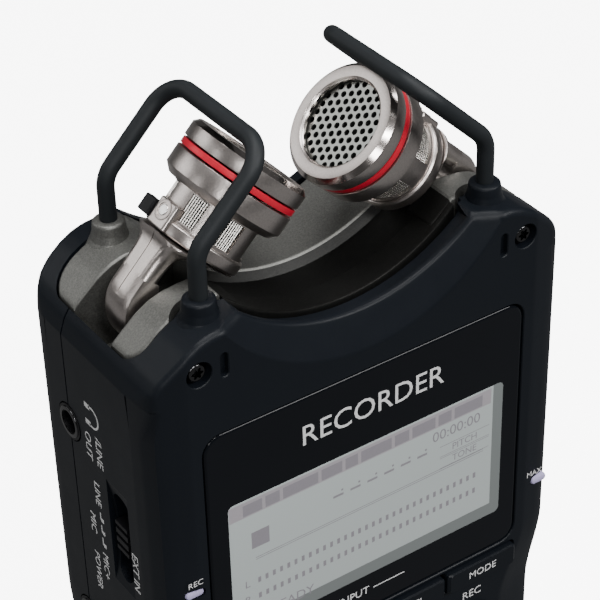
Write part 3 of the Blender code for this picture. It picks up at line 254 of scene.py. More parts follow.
def polished_metal(name, colour, roughness):
    """Bright turned metal with faint tool marks."""
    tree = Tree(name)
    marks = tree.noise(900.0, 4.0, 0.7)
    tint = tree.mix(marks, shade(colour, 0.88), shade(colour, 1.08))
    return tree.finish(Base_Color=tint, Roughness=roughness + marks * 0.08, Metallic=1.0,
                       Normal=tree.bump(marks, 0.000008, 0.4))


def rubber_coat(name, colour):
    """Matt slate coat of the guard rods, rubbed a little on its crowns."""
    tree = Tree(name)
    fine = tree.noise(5200.0, 2.0, 0.6)
    worn = tree.noise(320.0, 5.0, 0.65)
    tint = tree.mix((worn * 1.4 - 0.3).clamped(), shade(colour, 0.85), shade(colour, 1.25))
    return tree.finish(Base_Color=tint, Roughness=0.5 + fine * 0.14, Specular_IOR_Level=0.3,
                       Normal=tree.bump(fine, FINE_DEPTH, 0.5))


def satin_red(name, colour):
    """Anodised red band with a trace of turning marks."""
    tree = Tree(name)
    fine = tree.noise(2600.0, 3.0, 0.6)
    tint = tree.mix(fine, shade(colour, 0.85), shade(colour, 1.12))
    return tree.finish(Base_Color=tint, Roughness=0.34 + fine * 0.1, Metallic=0.25,
                       Normal=tree.bump(fine, 0.00001, 0.4))


def smoked_plate(name, colour):
    """Glossy dark plate over the display, with dust and faint wiping marks."""
    tree = Tree(name)
    wiped = tree.noise(26.0, 3.0, 0.6)
    dust = tree.noise(5200.0, 2.0, 0.5)
    tint = tree.mix(wiped, shade(colour, 0.8), shade(colour, 1.3))
    return tree.finish(Base_Color=tint, Roughness=0.09 + wiped * 0.08 + dust * 0.03,
                       Specular_IOR_Level=0.16)


def crystal_window(name, colour, right_x, foot_z):
    """Grey-green display, shadowed beyond its right edge and below its foot."""
    tree = Tree(name)
    x, _, z = tree.split()
    edge = ((x > right_x * MM) + (z < foot_z * MM)).clamped()
    cloud = tree.noise(42.0, 2.0)
    rows = tree.noise(2400.0, 1.0)
    tint = tree.mix(cloud * 0.7 + rows * 0.1, shade(colour, 0.97), shade(colour, 1.03))
    shaded = tree.mix(edge, tint, shade(colour, 0.4))
    return tree.finish(Base_Color=shaded, Roughness=0.3 + rows * 0.05)


def printed_ink(name, colour, roughness=0.5):
    """Pad-printed ink with slightly uneven cover."""
    tree = Tree(name)
    cover = tree.noise(3000.0, 2.0)
    tint = tree.mix(cover, shade(colour, 0.9), colour)
    return tree.finish(Base_Color=tint, Roughness=roughness + cover * 0.1)


def frosted_lamp(name, colour):
    """Pale light pipe, lit very faintly from behind."""
    tree = Tree(name)
    haze = tree.noise(900.0, 2.0)
    tint = tree.mix(haze, shade(colour, 0.85), colour)
    return tree.finish(Base_Color=tint, Roughness=0.3 + haze * 0.1, Emission_Color=tint,
                       Emission_Strength=0.12)


def circuit_board(name, colour):
    """Solder mask with a trace pattern."""
    tree = Tree(name)
    traces = tree.cells(900.0)
    tint = tree.mix(traces > 0.55, colour, shade(colour, 1.8))
    return tree.finish(Base_Color=tint, Roughness=0.35 + traces * 0.2,
                       Normal=tree.bump(traces, 0.00003, 0.6))


def wrapped_cell(name, wrap, cap, split_z):
    """Battery wrap with a lighter band near the top."""
    tree = Tree(name)
    _, _, z = tree.split()
    print_grain = tree.noise(700.0, 2.0)
    tint = tree.mix(z > split_z * MM, tree.mix(print_grain, wrap, shade(wrap, 1.4)), cap)
    return tree.finish(Base_Color=tint, Roughness=0.3 + print_grain * 0.08)


def make_finishes(colours):
    """All finishes of the recorder by short name."""
    body = rgba(*colours.body)
    metal = rgba(*colours.microphone)
    return {
        "shell": moulded_plastic("satin_blue_black", body, 0.42),
        "key": moulded_plastic("key_blue_black", shade(body, 0.9), 0.38, 4200.0),
        "socket": moulded_plastic("socket_black", rgba(0.006, 0.006, 0.007), 0.4, 3000.0),
        "saddle": speckled_paint("speckled_gunmetal", rgba(*colours.saddle_dark),
                                 rgba(*colours.saddle_light), 0.48, 0.75),
        "mic": plated_metal("champagne_gunmetal", metal, 0.3),
        "polished": polished_metal("polished_gunmetal", shade(metal, 1.25), 0.12),
        "weave": polished_metal("woven_wire", rgba(0.55, 0.53, 0.50), 0.3),
        "grille": polished_metal("perforated_sheet", rgba(0.36, 0.37, 0.35), 0.3),
        "contact": polished_metal("bright_nickel", rgba(0.75, 0.74, 0.72), 0.2),
        "screw": polished_metal("black_oxide", rgba(0.06, 0.06, 0.062), 0.16),
        "brass": polished_metal("machined_brass", rgba(0.72, 0.53, 0.22), 0.25),
        "red": satin_red("anodised_red", rgba(*colours.ring)),
        "rod": rubber_coat("slate_rubber", rgba(*colours.rod)),
        "lens": smoked_plate("smoked_plate", rgba(0.0035, 0.0042, 0.0058)),
        "segment": printed_ink("display_segment", rgba(0.25, 0.235, 0.26), 0.3),
        "band": printed_ink("display_band_tint", rgba(0.36, 0.335, 0.36), 0.3),
        "ink": printed_ink("white_ink", rgba(0.72, 0.72, 0.72)),
        "lamp": frosted_lamp("lavender_lamp", rgba(0.44, 0.40, 0.62)),
        "board": circuit_board("green_solder_mask", rgba(0.01, 0.09, 0.04)),
        "dark": moulded_plastic("deep_black", rgba(0.003, 0.003, 0.003), 0.7, 3000.0),
    }


FINISHES = {}


# ---------------------------------------------------------------- mesh helpers
def middle(node):
    """Centre of a solid's box, in millimetres."""
    low, high = mm_box(node)
    return [(a + b) / 2.0 for a, b in zip(low, high)]


def rotation(degrees, axis):
    """Rotation about one axis."""
    return Matrix.Rotation(math.radians(degrees), 4, axis)


def place_shape(bm, matrix):
    """Move or turn a whole shape."""
    bmesh.ops.transform(bm, matrix=matrix, verts=bm.verts)
    return bm


def metre_mesh(name, bm):
    """Mesh in metres from a shape in millimetres, which is used up."""
    bmesh.ops.recalc_face_normals(bm, faces=bm.faces)
    bmesh.ops.scale(bm, vec=(MM, MM, MM), verts=bm.verts)
    mesh = bpy.data.meshes.new(name)
    bm.to_mesh(mesh)
    bm.free()
    return mesh


def evaluated_mesh(obj):
    """Plain mesh of an object as its modifiers leave it."""
    bpy.context.view_layer.update()
    return bpy.data.meshes.new_from_object(obj.evaluated_get(
        bpy.context.evaluated_depsgraph_get()))


def put(name, bm, finish, body, replaced=(), matrix=None, angle=32.0):
    """Make a finished piece from a shape in millimetres, attach it to its body and hide the solids
    that it replaces.
    """
    if matrix:
        place_shape(bm, matrix)
    mesh = metre_mesh(name, bm)
    mesh.materials.clear()
    mesh.materials.append(FINISHES[finish])
    mesh.shade_smooth()
    mesh.set_sharp_from_angle(angle=math.radians(angle))
    obj = bpy.data.objects.new(name, mesh)
    bpy.context.collection.objects.link(obj)
    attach(obj, body)
    if replaced:
        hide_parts(*replaced)
    return obj


def finish_node(node, finish):
    """Give a solid that keeps its own shape a better finish."""
    obj = frame["nodes"][node]
    obj.data.materials.clear()
    obj.data.materials.append(FINISHES[finish])


def skin(bm, rings):
    """Join rings of equal length into a tube and cap it."""
    for first, second in zip(rings, rings[1:]):
        count = len(first)
        for i in range(count):
            k = (i + 1) % count
            bm.faces.new((first[i], first[k], second[k], second[i]))
    bm.faces.new(rings[0])
    bm.faces.new(rings[-1])


def loft(sections, bm=None):
    """Skin and cap a row of equal outlines given as lists of points."""
    bm = bm or bmesh.new()
    skin(bm, [[bm.verts.new(point) for point in section] for section in sections])
    return bm


def eased(points, radius, steps=4):
    """Round the inner corners of a polyline, each as far as its edges allow."""
    result = [tuple(points[0])]
    for before, corner, after in zip(points, points[1:], points[2:]):
        here = Vector(corner)
        back = Vector(before) - here
        ahead = Vector(after) - here
        half = back.angle(ahead) / 2.0
        if half > math.radians(88.0):
            result.append(tuple(corner))
            continue
        setback = min(radius / math.tan(half), back.length * 0.45, ahead.length * 0.45)
        start = here + back.normalized() * setback
        end = here + ahead.normalized() * setback
        for k in range(steps + 1):
            share = k / steps
            point = start.lerp(here, share).lerp(here.lerp(end, share), share)
            result.append(tuple(point))
    result.append(tuple(points[-1]))
    return result


def turned(profile, segments, bm=None):
    """Solid of revolution about Z; a profile that starts and ends on the axis is a solid, and
    any other one closes on itself as a ring."""
    bm = bm or bmesh.new()
    rings = []
    for radius, height in profile:
        if radius < 1e-6:
            rings.append([bm.verts.new((0.0, 0.0, height))])
            continue
        rings.append([bm.verts.new((radius * math.cos(2.0 * math.pi * i / segments),
                                    radius * math.sin(2.0 * math.pi * i / segments), height))
                      for i in range(segments)])
    pairs = list(zip(rings, rings[1:]))
    if len(rings[0]) > 1:
        pairs.append((rings[-1], rings[0]))
    for first, second in pairs:
        if len(first) == 1:
            first, second = second, first
        for i in range(len(first)):
            k = (i + 1) % len(first)
            if len(second) == 1:
                bm.faces.new((first[i], first[k], second[0]))
            else:
                bm.faces.new((first[i], first[k], second[k], second[i]))
    return bm


def arc(centre, radius, start, end, steps):
    """Points of a circle from one angle to another, in degrees."""
    return [(centre[0] + radius * math.cos(math.radians(start + (end - start) * i / steps)),
             centre[1] + radius * math.sin(math.radians(start + (end - start) * i / steps)))
            for i in range(steps + 1)]


def rounded_rect(low_a, high_a, low_b, high_b, radius, steps=6):
    """Outline of a rectangle with round corners."""
    points = arc((high_a - radius, low_b + radius), radius, -90.0, 0.0, steps)
    points += arc((high_a - radius, high_b - radius), radius, 0.0, 90.0, steps)
    points += arc((low_a + radius, high_b - radius), radius, 90.0, 180.0, steps)
    return points + arc((low_a + radius, low_b + radius), radius, 180.0, 270.0, steps)


def pillow(low_a, high_a, low_b, high_b, corner, heights, order, bm=None):
    """Plate with round corners and an eased edge: heights are (height, inset) pairs."""
    sections = []
    for height, inset in heights:
        outline = rounded_rect(low_a + inset, high_a - inset, low_b + inset, high_b - inset,
                               max(corner - inset, 0.05))
        sections.append([order(a, b, height) for a, b in outline])
    return loft(sections, bm)


def facing_front(a, b, height):
    """Place a flat outline on the display face; height runs into the body."""
    return (a, height, b)


def facing_side(a, b, height):
    """Place a flat outline on a side wall; height runs along X."""
    return (height, a, b)


def facing_up(a, b, height):
    """Place a flat outline on a level plane; height runs along Z."""
    return (a, b, height)


def sweep(path, radius, sides):
    """Round tube along a polyline, without twist, with flat ends."""
    bm = bmesh.new()
    tangents = [(b - a).normalized() for a, b in zip(path, path[1:])]
    directions = [tangents[0]]
    directions += [(a + b).normalized() for a, b in zip(tangents, tangents[1:])]
    directions.append(tangents[-1])
    across = directions[0].orthogonal().normalized()
    rings = []
    for point, direction in zip(path, directions):
        across = (across - direction * across.dot(direction)).normalized()
        up = direction.cross(across)
        ring = []
        for i in range(sides):
            angle = 2.0 * math.pi * i / sides
            ring.append(bm.verts.new(point + (across * math.cos(angle)
                                              + up * math.sin(angle)) * radius))
        rings.append(ring)
    skin(bm, rings)
    return bm


def rounded_path(corners, radius, steps):
    """Polyline through corners with every inner corner rounded to a radius."""
    path = [corners[0]]
    for before, corner, after in zip(corners, corners[1:], corners[2:]):
        back = (before - corner).normalized()
        ahead = (after - corner).normalized()
        half = back.angle(ahead) / 2.0
        middle = corner + (back + ahead).normalized() * (radius / math.sin(half))
        start = corner + back * (radius / math.tan(half)) - middle
        end = corner + ahead * (radius / math.tan(half)) - middle
        axis = start.cross(end).normalized()
        for i in range(steps + 1):
            turn = Matrix.Rotation((math.pi - 2.0 * half) * i / steps, 3, axis)
            path.append(middle + turn @ start)
    path.append(corners[-1])
    return path


def lettering(text, size, matrix, bm, extrude=0.012):
    """Add a word as thin raised print; the matrix is in millimetres."""
    curve = bpy.data.curves.new("word", "FONT")
    curve.body = text
    curve.size = size
    curve.extrude = extrude
    curve.align_x = "CENTER"
    curve.align_y = "CENTER"
    curve.resolution_u = 3
    obj = bpy.data.objects.new("word", curve)
    bpy.context.collection.objects.link(obj)
    mesh = evaluated_mesh(obj)
    mesh.transform(matrix)
    bm.from_mesh(mesh)
    bpy.data.objects.remove(obj, do_unlink=True)
    bpy.data.curves.remove(curve)
    bpy.data.meshes.remove(mesh)


def front_text(x, z, y):
    """Matrix for print that reads on the display face."""
    return Matrix.Translation((x, y, z)) @ rotation(90.0, "X")


def left_text(y, z, x):
    """Matrix for print on the left wall, its tops towards the front."""
    return (Matrix.Translation((x, y, z)) @ rotation(90.0, "X") @ rotation(-90.0, "Z")
            @ rotation(90.0, "X"))


def bar(low_a, high_a, low_b, high_b, order, height, thick, bm):
    """Thin rectangular mark."""
    outline = [(low_a, low_b), (high_a, low_b), (high_a, high_b), (low_a, high_b)]
    loft([[order(a, b, height) for a, b in outline],
          [order(a, b, height + thick) for a, b in outline]], bm)


def carve(obj, bm, operation="DIFFERENCE"):
    """Cut a shape in millimetres out of a piece, or join it on."""
    tool = bpy.data.objects.new("cutter", metre_mesh("cutter", bm))
    bpy.context.collection.objects.link(tool)
    modifier = obj.modifiers.new("cut", "BOOLEAN")
    modifier.operation = operation
    modifier.solver = "EXACT"
    modifier.object = tool
    result = evaluated_mesh(obj)
    obj.modifiers.clear()
    obj.data = result
    bpy.data.objects.remove(tool, do_unlink=True)


def weigh_normals(obj):
    """Give flat faces flat shading beside rounded edges."""
    modifier = obj.modifiers.new("weigh", "WEIGHTED_NORMAL")
    modifier.keep_sharp = True
    mesh = evaluated_mesh(obj)
    obj.modifiers.clear()
    obj.data = mesh


def resharpen(obj, angle=32.0):
    """Shade smooth again after a cut, with sharp edges above an angle in degrees."""
    obj.data.shade_smooth()
    obj.data.set_sharp_from_angle(angle=math.radians(angle))


def unite(obj, bm):
    """Join a shape in millimetres to a piece as one solid."""
    carve(obj, bm, "UNION")


# ---------------------------------------------------------------- geometry nodes
class Grower:
    """A geometry node tree with named inputs, grown into a plain mesh."""

    def __init__(self, name, **inputs):
        self.group = bpy.data.node_groups.new(name, "GeometryNodeTree")
        face = self.group.interface
        self.values = {}
        self.sockets = {}
        for key, value in inputs.items():
            kind = "NodeSocketInt" if isinstance(value, int) else "NodeSocketFloat"
            made = face.new_socket(name=key, in_out="INPUT", socket_type=kind)
            self.values[made.identifier] = value
            self.sockets[key] = made.identifier
        face.new_socket(name="Geometry", in_out="OUTPUT", socket_type="NodeSocketGeometry")
        self.start = self.group.nodes.new("NodeGroupInput")

    def input(self, key):
        return next(out for out in self.start.outputs if out.name == key)

    def add(self, kind, settings=None, **links):
        """One node; a link's key is its socket's name with underscores, or in_ and an index."""
        made = self.group.nodes.new(kind)
        for key, value in (settings or {}).items():
            setattr(made, key, value)
        for key, value in links.items():
            if key.startswith("in_"):
                socket = made.inputs[int(key[3:])]
            else:
                socket = made.inputs[key.replace("_", " ")]
            if isinstance(value, bpy.types.NodeSocket):
                self.group.links.new(value, socket)
            else:
                socket.default_value = value
        return made

    def maths(self, operation, first, second=0.0):
        return self.add("ShaderNodeMath", {"operation": operation},
                        in_0=first, in_1=second).outputs[0]

    def grow(self, geometry, finish):
        """Realise the instances, set the finish and return the result as a mesh."""
        real = self.add("GeometryNodeRealizeInstances", Geometry=geometry).outputs[0]
        done = self.add("GeometryNodeSetMaterial", Geometry=real,
                        Material=FINISHES[finish]).outputs[0]
        end = self.group.nodes.new("NodeGroupOutput")
        self.group.links.new(done, end.inputs[0])
        host = bpy.data.objects.new("host", bpy.data.meshes.new("host"))
        bpy.context.collection.objects.link(host)
        modifier = host.modifiers.new("grow", "NODES")
        modifier.node_group = self.group
        for identifier, value in self.values.items():
            modifier[identifier] = value
        mesh = evaluated_mesh(host)
        host.modifiers.clear()
        bpy.data.objects.remove(host, do_unlink=True)
        return mesh


def perforated_plate(radius, reach, pitch, hole, thickness):
    """Round sheet with round holes in a staggered pattern, made on Z from height zero."""
    tree = Grower("perforated_sheet", Radius=radius, Reach=reach, Pitch=pitch, Hole=hole,
                  Thickness=thickness, Rows=19)
    pitch_in = tree.input("Pitch")
    row = tree.maths("MULTIPLY", pitch_in, math.sqrt(0.75))
    spans = [tree.maths("MULTIPLY", step, tree.maths("SUBTRACT", tree.input("Rows"), 1.0))
             for step in (pitch_in, row)]
    grid = tree.add("GeometryNodeMeshGrid", Size_X=spans[0], Size_Y=spans[1],
                    Vertices_X=tree.input("Rows"), Vertices_Y=tree.input("Rows")).outputs[0]
    place = tree.add("GeometryNodeInputPosition").outputs[0]
    parts = tree.add("ShaderNodeSeparateXYZ", in_0=place)
    line = tree.maths("ROUND", tree.maths("DIVIDE", parts.outputs[1], row))
    odd = tree.maths("FLOORED_MODULO", line, 2.0)
    shift = tree.maths("MULTIPLY", tree.maths("MULTIPLY", odd, 0.5), pitch_in)
    offset = tree.add("ShaderNodeCombineXYZ", in_0=shift).outputs[0]
    moved = tree.add("GeometryNodeSetPosition", Geometry=grid, Offset=offset).outputs[0]
    length = tree.add("ShaderNodeVectorMath", {"operation": "LENGTH"}, in_0=place).outputs[1]
    far = tree.maths("GREATER_THAN", length, tree.input("Reach"))
    kept = tree.add("GeometryNodeDeleteGeometry", Geometry=moved, Selection=far).outputs[0]
    ring = tree.add("GeometryNodeCurvePrimitiveCircle", Resolution=14,
                    Radius=tree.input("Hole")).outputs[0]
    rim = tree.add("GeometryNodeCurvePrimitiveCircle", Resolution=72,
                   Radius=tree.input("Radius")).outputs[0]
    rings = tree.add("GeometryNodeInstanceOnPoints", Points=kept, Instance=ring).outputs[0]
    every = tree.add("GeometryNodeJoinGeometry")
    for source in (rim, tree.add("GeometryNodeRealizeInstances", Geometry=rings).outputs[0]):
        tree.group.links.new(source, every.inputs[0])
    sheet = tree.add("GeometryNodeFillCurve", Curve=every.outputs[0]).outputs[0]
    upper = tree.add("GeometryNodeExtrudeMesh", Mesh=sheet, Individual=False,
                     Offset_Scale=tree.input("Thickness")).outputs[0]
    lower = tree.add("GeometryNodeFlipFaces", Mesh=sheet).outputs[0]
    both = tree.add("GeometryNodeJoinGeometry")
    for source in (upper, lower):
        tree.group.links.new(source, both.inputs[0])
    merged = tree.add("GeometryNodeMergeByDistance", Geometry=both.outputs[0],
                      Distance=0.001).outputs[0]
    return tree.grow(merged, "grille")


def woven_sleeve(radius, low, high, pitch, wire):
    """Tube of woven wire about Z: hoops crossed by upright wires."""
    around = int(round(2.0 * math.pi * radius / pitch))
    levels = int(round((high - low) / pitch))
    tree = Grower("woven_sleeve", Radius=radius, Low=low, High=high, Wire=wire, Around=around,
                  Levels=levels)
    profile = tree.add("GeometryNodeCurvePrimitiveCircle", Resolution=4,
                       Radius=tree.input("Wire")).outputs[0]
    foot = tree.add("ShaderNodeCombineXYZ", in_2=tree.input("Low")).outputs[0]
    tip = tree.add("ShaderNodeCombineXYZ", in_2=tree.input("High")).outputs[0]
    stack = tree.add("GeometryNodeMeshLine", {"mode": "END_POINTS"},
                     Count=tree.input("Levels"), Start_Location=foot, Offset=tip).outputs[0]
    hoop = tree.add("GeometryNodeCurvePrimitiveCircle", Resolution=96,
                    Radius=tree.input("Radius")).outputs[0]
    hoop_mesh = tree.add("GeometryNodeCurveToMesh", Curve=hoop,
                         Profile_Curve=profile).outputs[0]
    hoops = tree.add("GeometryNodeInstanceOnPoints", Points=stack, Instance=hoop_mesh).outputs[0]
    upright = tree.add("GeometryNodeCurvePrimitiveLine", Start=foot, End=tip).outputs[0]
    upright_mesh = tree.add("GeometryNodeCurveToMesh", Curve=upright, Profile_Curve=profile,
                            Fill_Caps=True).outputs[0]
    circle = tree.add("GeometryNodeMeshCircle", Vertices=tree.input("Around"),
                      Radius=tree.maths("ADD", tree.input("Radius"),
                                        tree.input("Wire"))).outputs[0]
    uprights = tree.add("GeometryNodeInstanceOnPoints", Points=circle,
                        Instance=upright_mesh).outputs[0]
    both = tree.add("GeometryNodeJoinGeometry")
    for source in (hoops, uprights):
        tree.group.links.new(source, both.inputs[0])
    return tree.grow(both.outputs[0], "weave")


def from_mesh(mesh):
    """Bmesh copy of a mesh, which is then dropped."""
    bm = bmesh.new()
    bm.from_mesh(mesh)
    bpy.data.meshes.remove(mesh)
    return bm


# ---------------------------------------------------------------- outline of the body
WALL = 4.4                    # depth of what is let into the back
SPLIT_Y = SHELL_HIGH.y
BACK_Y = mm_box("rear_shell")[1].y
HALF = LENS_HIGH.x + 7.6      # half width of the upper body
LOWER_HALF = HALF - 1.1
SHOULDER_Z = LENS_HIGH.z + 7.2
RISE = 9.6
WAIST = (LENS_HIGH.z - 57.9, LENS_HIGH.z - 42.9)
BOTTOM_CORNER = 6.0
VALLEY_HALF = HALF - 15.4
VALLEY = (SHOULDER_Z + 30.565, 28.7)    # centre height and radius
CRESCENT = (SHOULDER_Z + 23.765, 27.5)
DISH = (SHOULDER_Z + 28.465, 27.2)
LOBE_OUTER = HALF - 2.0       # outer side of the four lobes, and their corners' radii
LOBE_CORNER = 2.6
REAR_CORNER = 3.4
LEDGE_HALF = 22.0
LOBE_FRONT_Y = FRONT_Y + 7.2
LOBE_BACK_Y = BACK_Y - 4.4
LIP_DEPTH = 2.2               # the dark slope's depth, the lip behind it and the groove
LIP_THICK = 0.9
GROOVE_DROP = 1.3
DECK_Z = SHOULDER_Z - 5.7
DECK_BASE = DECK_Z + 0.3      # foot of every part of the saddle
FIT = 0.3                     # play between neighbouring pieces
KEY_WELL = 5.6                # depth of the openings for the keys
SCREW_HOLE = 1.95
SPEAKER_PITCH = 2.6
SPEAKER_REACH = 6.0
SLOT_FRONT, SLOT_BACK = -3.5, 6.2   # edges in Y of the slot that the arms swing in
DISH_HALF = 19.2
WINDOW_HALF = 24.2            # half width of the display
SHADOW = 2.3                  # width of its shadowed border
FRONT_FLAT = (8.9, 3.3)       # side margin of the flat face at the foot, and what the top saves
BACK_EDGE = 5.0               # radius of the long edges of the back
SHOULDER = ((0.0, 0.0), (0.8, 0.25), (2.0, 0.427), (4.0, 0.609), (6.0, 0.781), (8.0, 0.901),
            (10.0, 0.964), (12.5, 0.99), (15.4, 1.0))


def smooth(value, low, high):
    """Ease from 0 to 1 between two values."""
    share = min(max((value - low) / (high - low), 0.0), 1.0)
    return share * share * (3.0 - 2.0 * share)


def along(points, value):
    """Height of a polyline at one place along it."""
    for (a, low), (b, high) in zip(points, points[1:]):
        if value <= b:
            return low + (high - low) * (value - a) / (b - a)
    return points[-1][1]


def half_width(z):
    """Half width of the body at one height: the waist eases between its two widths."""
    return LOWER_HALF + (HALF - LOWER_HALF) * smooth(z, *WAIST)


def circle_z(circle, x):
    """Height of the lower half of a circle at one X."""
    return circle[0] - math.sqrt(max(circle[1] ** 2 - x * x, 0.0))


SHOULDER_CURVE = eased([(reach, rise) for reach, rise in SHOULDER], 2.0, 4)


def top_z(x):
    """Height of the body's top edge at one X: shoulder, horn and valley."""
    if abs(x) < VALLEY_HALF:
        return circle_z(VALLEY, x)
    return SHOULDER_Z + RISE * along(SHOULDER_CURVE, HALF - abs(x))


def side_bevel(x, z):
    """How far the front face falls back towards a side wall."""
    upper = smooth(z, *WAIST)
    edge, depth = 1.3 - 0.4 * upper, 2.2 - 1.2 * upper
    flat = FRONT_FLAT[0] - FRONT_FLAT[1] * upper
    curve = eased([(0.0, 5.9), (edge * 0.35, depth + (5.9 - depth) * 0.35), (edge, depth),
                   (flat, 0.0), (flat + 30.0, 0.0)], 1.4, 4)
    return along(curve, half_width(z) - abs(x))


def crescent_depth(x, z):
    """Depth of the dark slope under the valley."""
    low, high = circle_z(CRESCENT, x), circle_z(VALLEY, x)
    if abs(x) > VALLEY_HALF + 4.0 or z <= low:
        return 0.0
    return LIP_DEPTH * min((z - low) / (high - low), 1.0)


def front_surface(x, z):
    """Place in Y of the display face at one X and Z."""
    return FRONT_Y + side_bevel(x, z) + crescent_depth(x, z)


def back_surface(x, z):
    """Place in Y of the back at one X and Z."""
    over = min(max(abs(x) - (half_width(z) - BACK_EDGE), 0.0), BACK_EDGE)
    return BACK_Y - (BACK_EDGE - math.sqrt(BACK_EDGE ** 2 - over * over))


def right_outline():
    """Right half of the body's outline in X and Z, from the bottom to the valley's middle."""
    points = arc((LOWER_HALF - BOTTOM_CORNER, BOTTOM_CORNER), BOTTOM_CORNER, -90.0, 0.0, 10)
    levels = [20.0, 40.0, WAIST[0]]
    levels += [WAIST[0] + (WAIST[1] - WAIST[0]) * i / 12.0 for i in range(1, 13)]
    levels += [90.0, 108.0, 118.0]
    points += [(half_width(z), z) for z in levels]
    reach = [15.4 * (i / 30.0) ** 1.5 for i in range(31)]
    points += [(HALF - step, top_z(HALF - step)) for step in reach]
    spread = math.degrees(math.asin(VALLEY_HALF / VALLEY[1]))
    points += arc((0.0, VALLEY[0]), VALLEY[1], -90.0 + spread, -90.0, 24)[1:]
    return points


def full_outline():
    """The body's whole outline, counter-clockwise from the bottom."""
    right = right_outline()
    return right + [(-x, z) for x, z in reversed(right[:-1])]


def inset_outline(points, amounts):
    """Closed outline drawn in along its normals, each point by its own amount."""
    result = []
    count = len(points)
    for i, (x, z) in enumerate(points):
        before, after = Vector(points[i - 1]), Vector(points[(i + 1) % count])
        tangent = (after - before).normalized()
        result.append((x - tangent.y * amounts[i], z + tangent.x * amounts[i]))
    return result


def is_valley(point):
    """True for points of the round valley between the horns."""
    return abs(point[0]) < VALLEY_HALF - 0.01 and point[1] > DECK_Z


def edge_radius(point, top, valley):
    """Radius of the rounded outer edge: none on the side walls, where the bevel takes over."""
    if is_valley(point):
        return valley
    return 0.25 + (top - 0.25) * smooth(point[1], SHOULDER_Z - 3.0, SHOULDER_Z + 1.5)


def front_rings(points):
    """Rings of the front shell from its flat face round the edges to the parting plane."""
    radii = [edge_radius(point, 1.0, 0.42) for point in points]
    inner = inset_outline(points, radii)
    flat = []
    for (x, z), point in zip(inner, points):
        margin = FRONT_FLAT[0] - FRONT_FLAT[1] * smooth(z, *WAIST)
        reach = min(abs(x), half_width(z) - margin - 0.3)
        low = circle_z(CRESCENT, x) - 0.1
        if point[1] > DECK_Z and abs(x) < VALLEY_HALF + 4.0:
            z = min(z, low)
        flat.append((math.copysign(reach, x), max(z, 2.5)))
    rows = [[(x, FRONT_Y, z) for x, z in flat]]
    for share in (0.12, 0.3, 0.5, 0.7, 0.88):
        row = []
        for (x0, z0), (x1, z1) in zip(flat, inner):
            x, z = x0 + (x1 - x0) * share, z0 + (z1 - z0) * share
            row.append((x, front_surface(x, z), z))
        rows.append(row)
    for turn in (0.0, 22.5, 45.0, 67.5, 90.0):
        drawn = inset_outline(points, [r * (1.0 - math.sin(math.radians(turn))) for r in radii])
        row = []
        for (x, z), r in zip(drawn, radii):
            fall = r * (1.0 - math.cos(math.radians(turn)))
            row.append((x, min(front_surface(x, z) + fall, SPLIT_Y - 1.0), z))
        rows.append(row)
    lip = FRONT_Y + LIP_DEPTH + LIP_THICK
    rows.append([(x, lip if is_valley((x, z)) else max(lip, FRONT_Y + 6.4), z)
                 for x, z in points])
    grooved = inset_outline(points, [GROOVE_DROP if is_valley(p) else 0.0 for p in points])
    rows.append([(x, lip + 0.25 if is_valley(p) else FRONT_Y + 6.6, z)
                 for (x, z), p in zip(grooved, points)])
    rows.append([(x, SPLIT_Y, z) for x, z in grooved])
    return rows


def rear_rings(points):
    """Rings of the rear shell from the parting plane to its flat back."""
    radii = [edge_radius(point, 1.0, 0.6) for point in points]
    rows = [[(x, SPLIT_Y + FIT, z) for x, z in points]]
    rows.append([(x, BACK_Y - 5.6, z) for x, z in points])
    for turn in (90.0, 67.5, 45.0, 22.5, 0.0):
        drawn = inset_outline(points, [r * (1.0 - math.sin(math.radians(turn))) for r in radii])
        row = []
        for (x, z), r in zip(drawn, radii):
            fall = r * (1.0 - math.cos(math.radians(turn)))
            row.append((x, back_surface(x, z) - fall, z))
        rows.append(row)
    inner = inset_outline(points, radii)
    flat = [(math.copysign(min(abs(x), half_width(z) - BACK_EDGE), x), max(z, 1.0))
            for x, z in inner]
    for share in (0.12, 0.25, 0.4, 0.6, 0.8, 1.0):
        row = []
        for (x1, z1), (x0, z0) in zip(flat, inner):
            x, z = x0 + (x1 - x0) * share, z0 + (z1 - z0) * share
            row.append((x, back_surface(x, z), z))
        rows.append(row)
    return rows


# ---------------------------------------------------------------- cutters
def block(low, high):
    """Box between two corners, as a bmesh."""
    bm = bmesh.new()
    bar(low[0], high[0], low[1], high[1], facing_up, low[2], high[2] - low[2], bm)
    return bm


def front_opening(node, margin, corner, depth, rim=0.12):
    """Opening in the display face for a piece that stands in it."""
    low, high = mm_box(node)
    return pillow(low.x - margin, high.x + margin, low.z - margin, high.z + margin, corner,
                  ((FRONT_Y - 2.0, -rim), (FRONT_Y - 0.02, -rim), (FRONT_Y + rim, 0.0),
                   (FRONT_Y + depth, 0.0)), facing_front)


def cavity():
    """Hollow that both shells share."""
    upper, lower = HALF - 3.5, LOWER_HALF - 4.4
    outline = [(lower, 2.0), (lower, WAIST[0] + 8.0), (upper, WAIST[0] + 10.0),
               (upper, DECK_Z - 2.0)]
    outline += [(-x, z) for x, z in reversed(outline)]
    return loft([[(x, y, z) for x, z in outline] for y in (FRONT_Y + 2.6, BACK_Y - 3.4)])


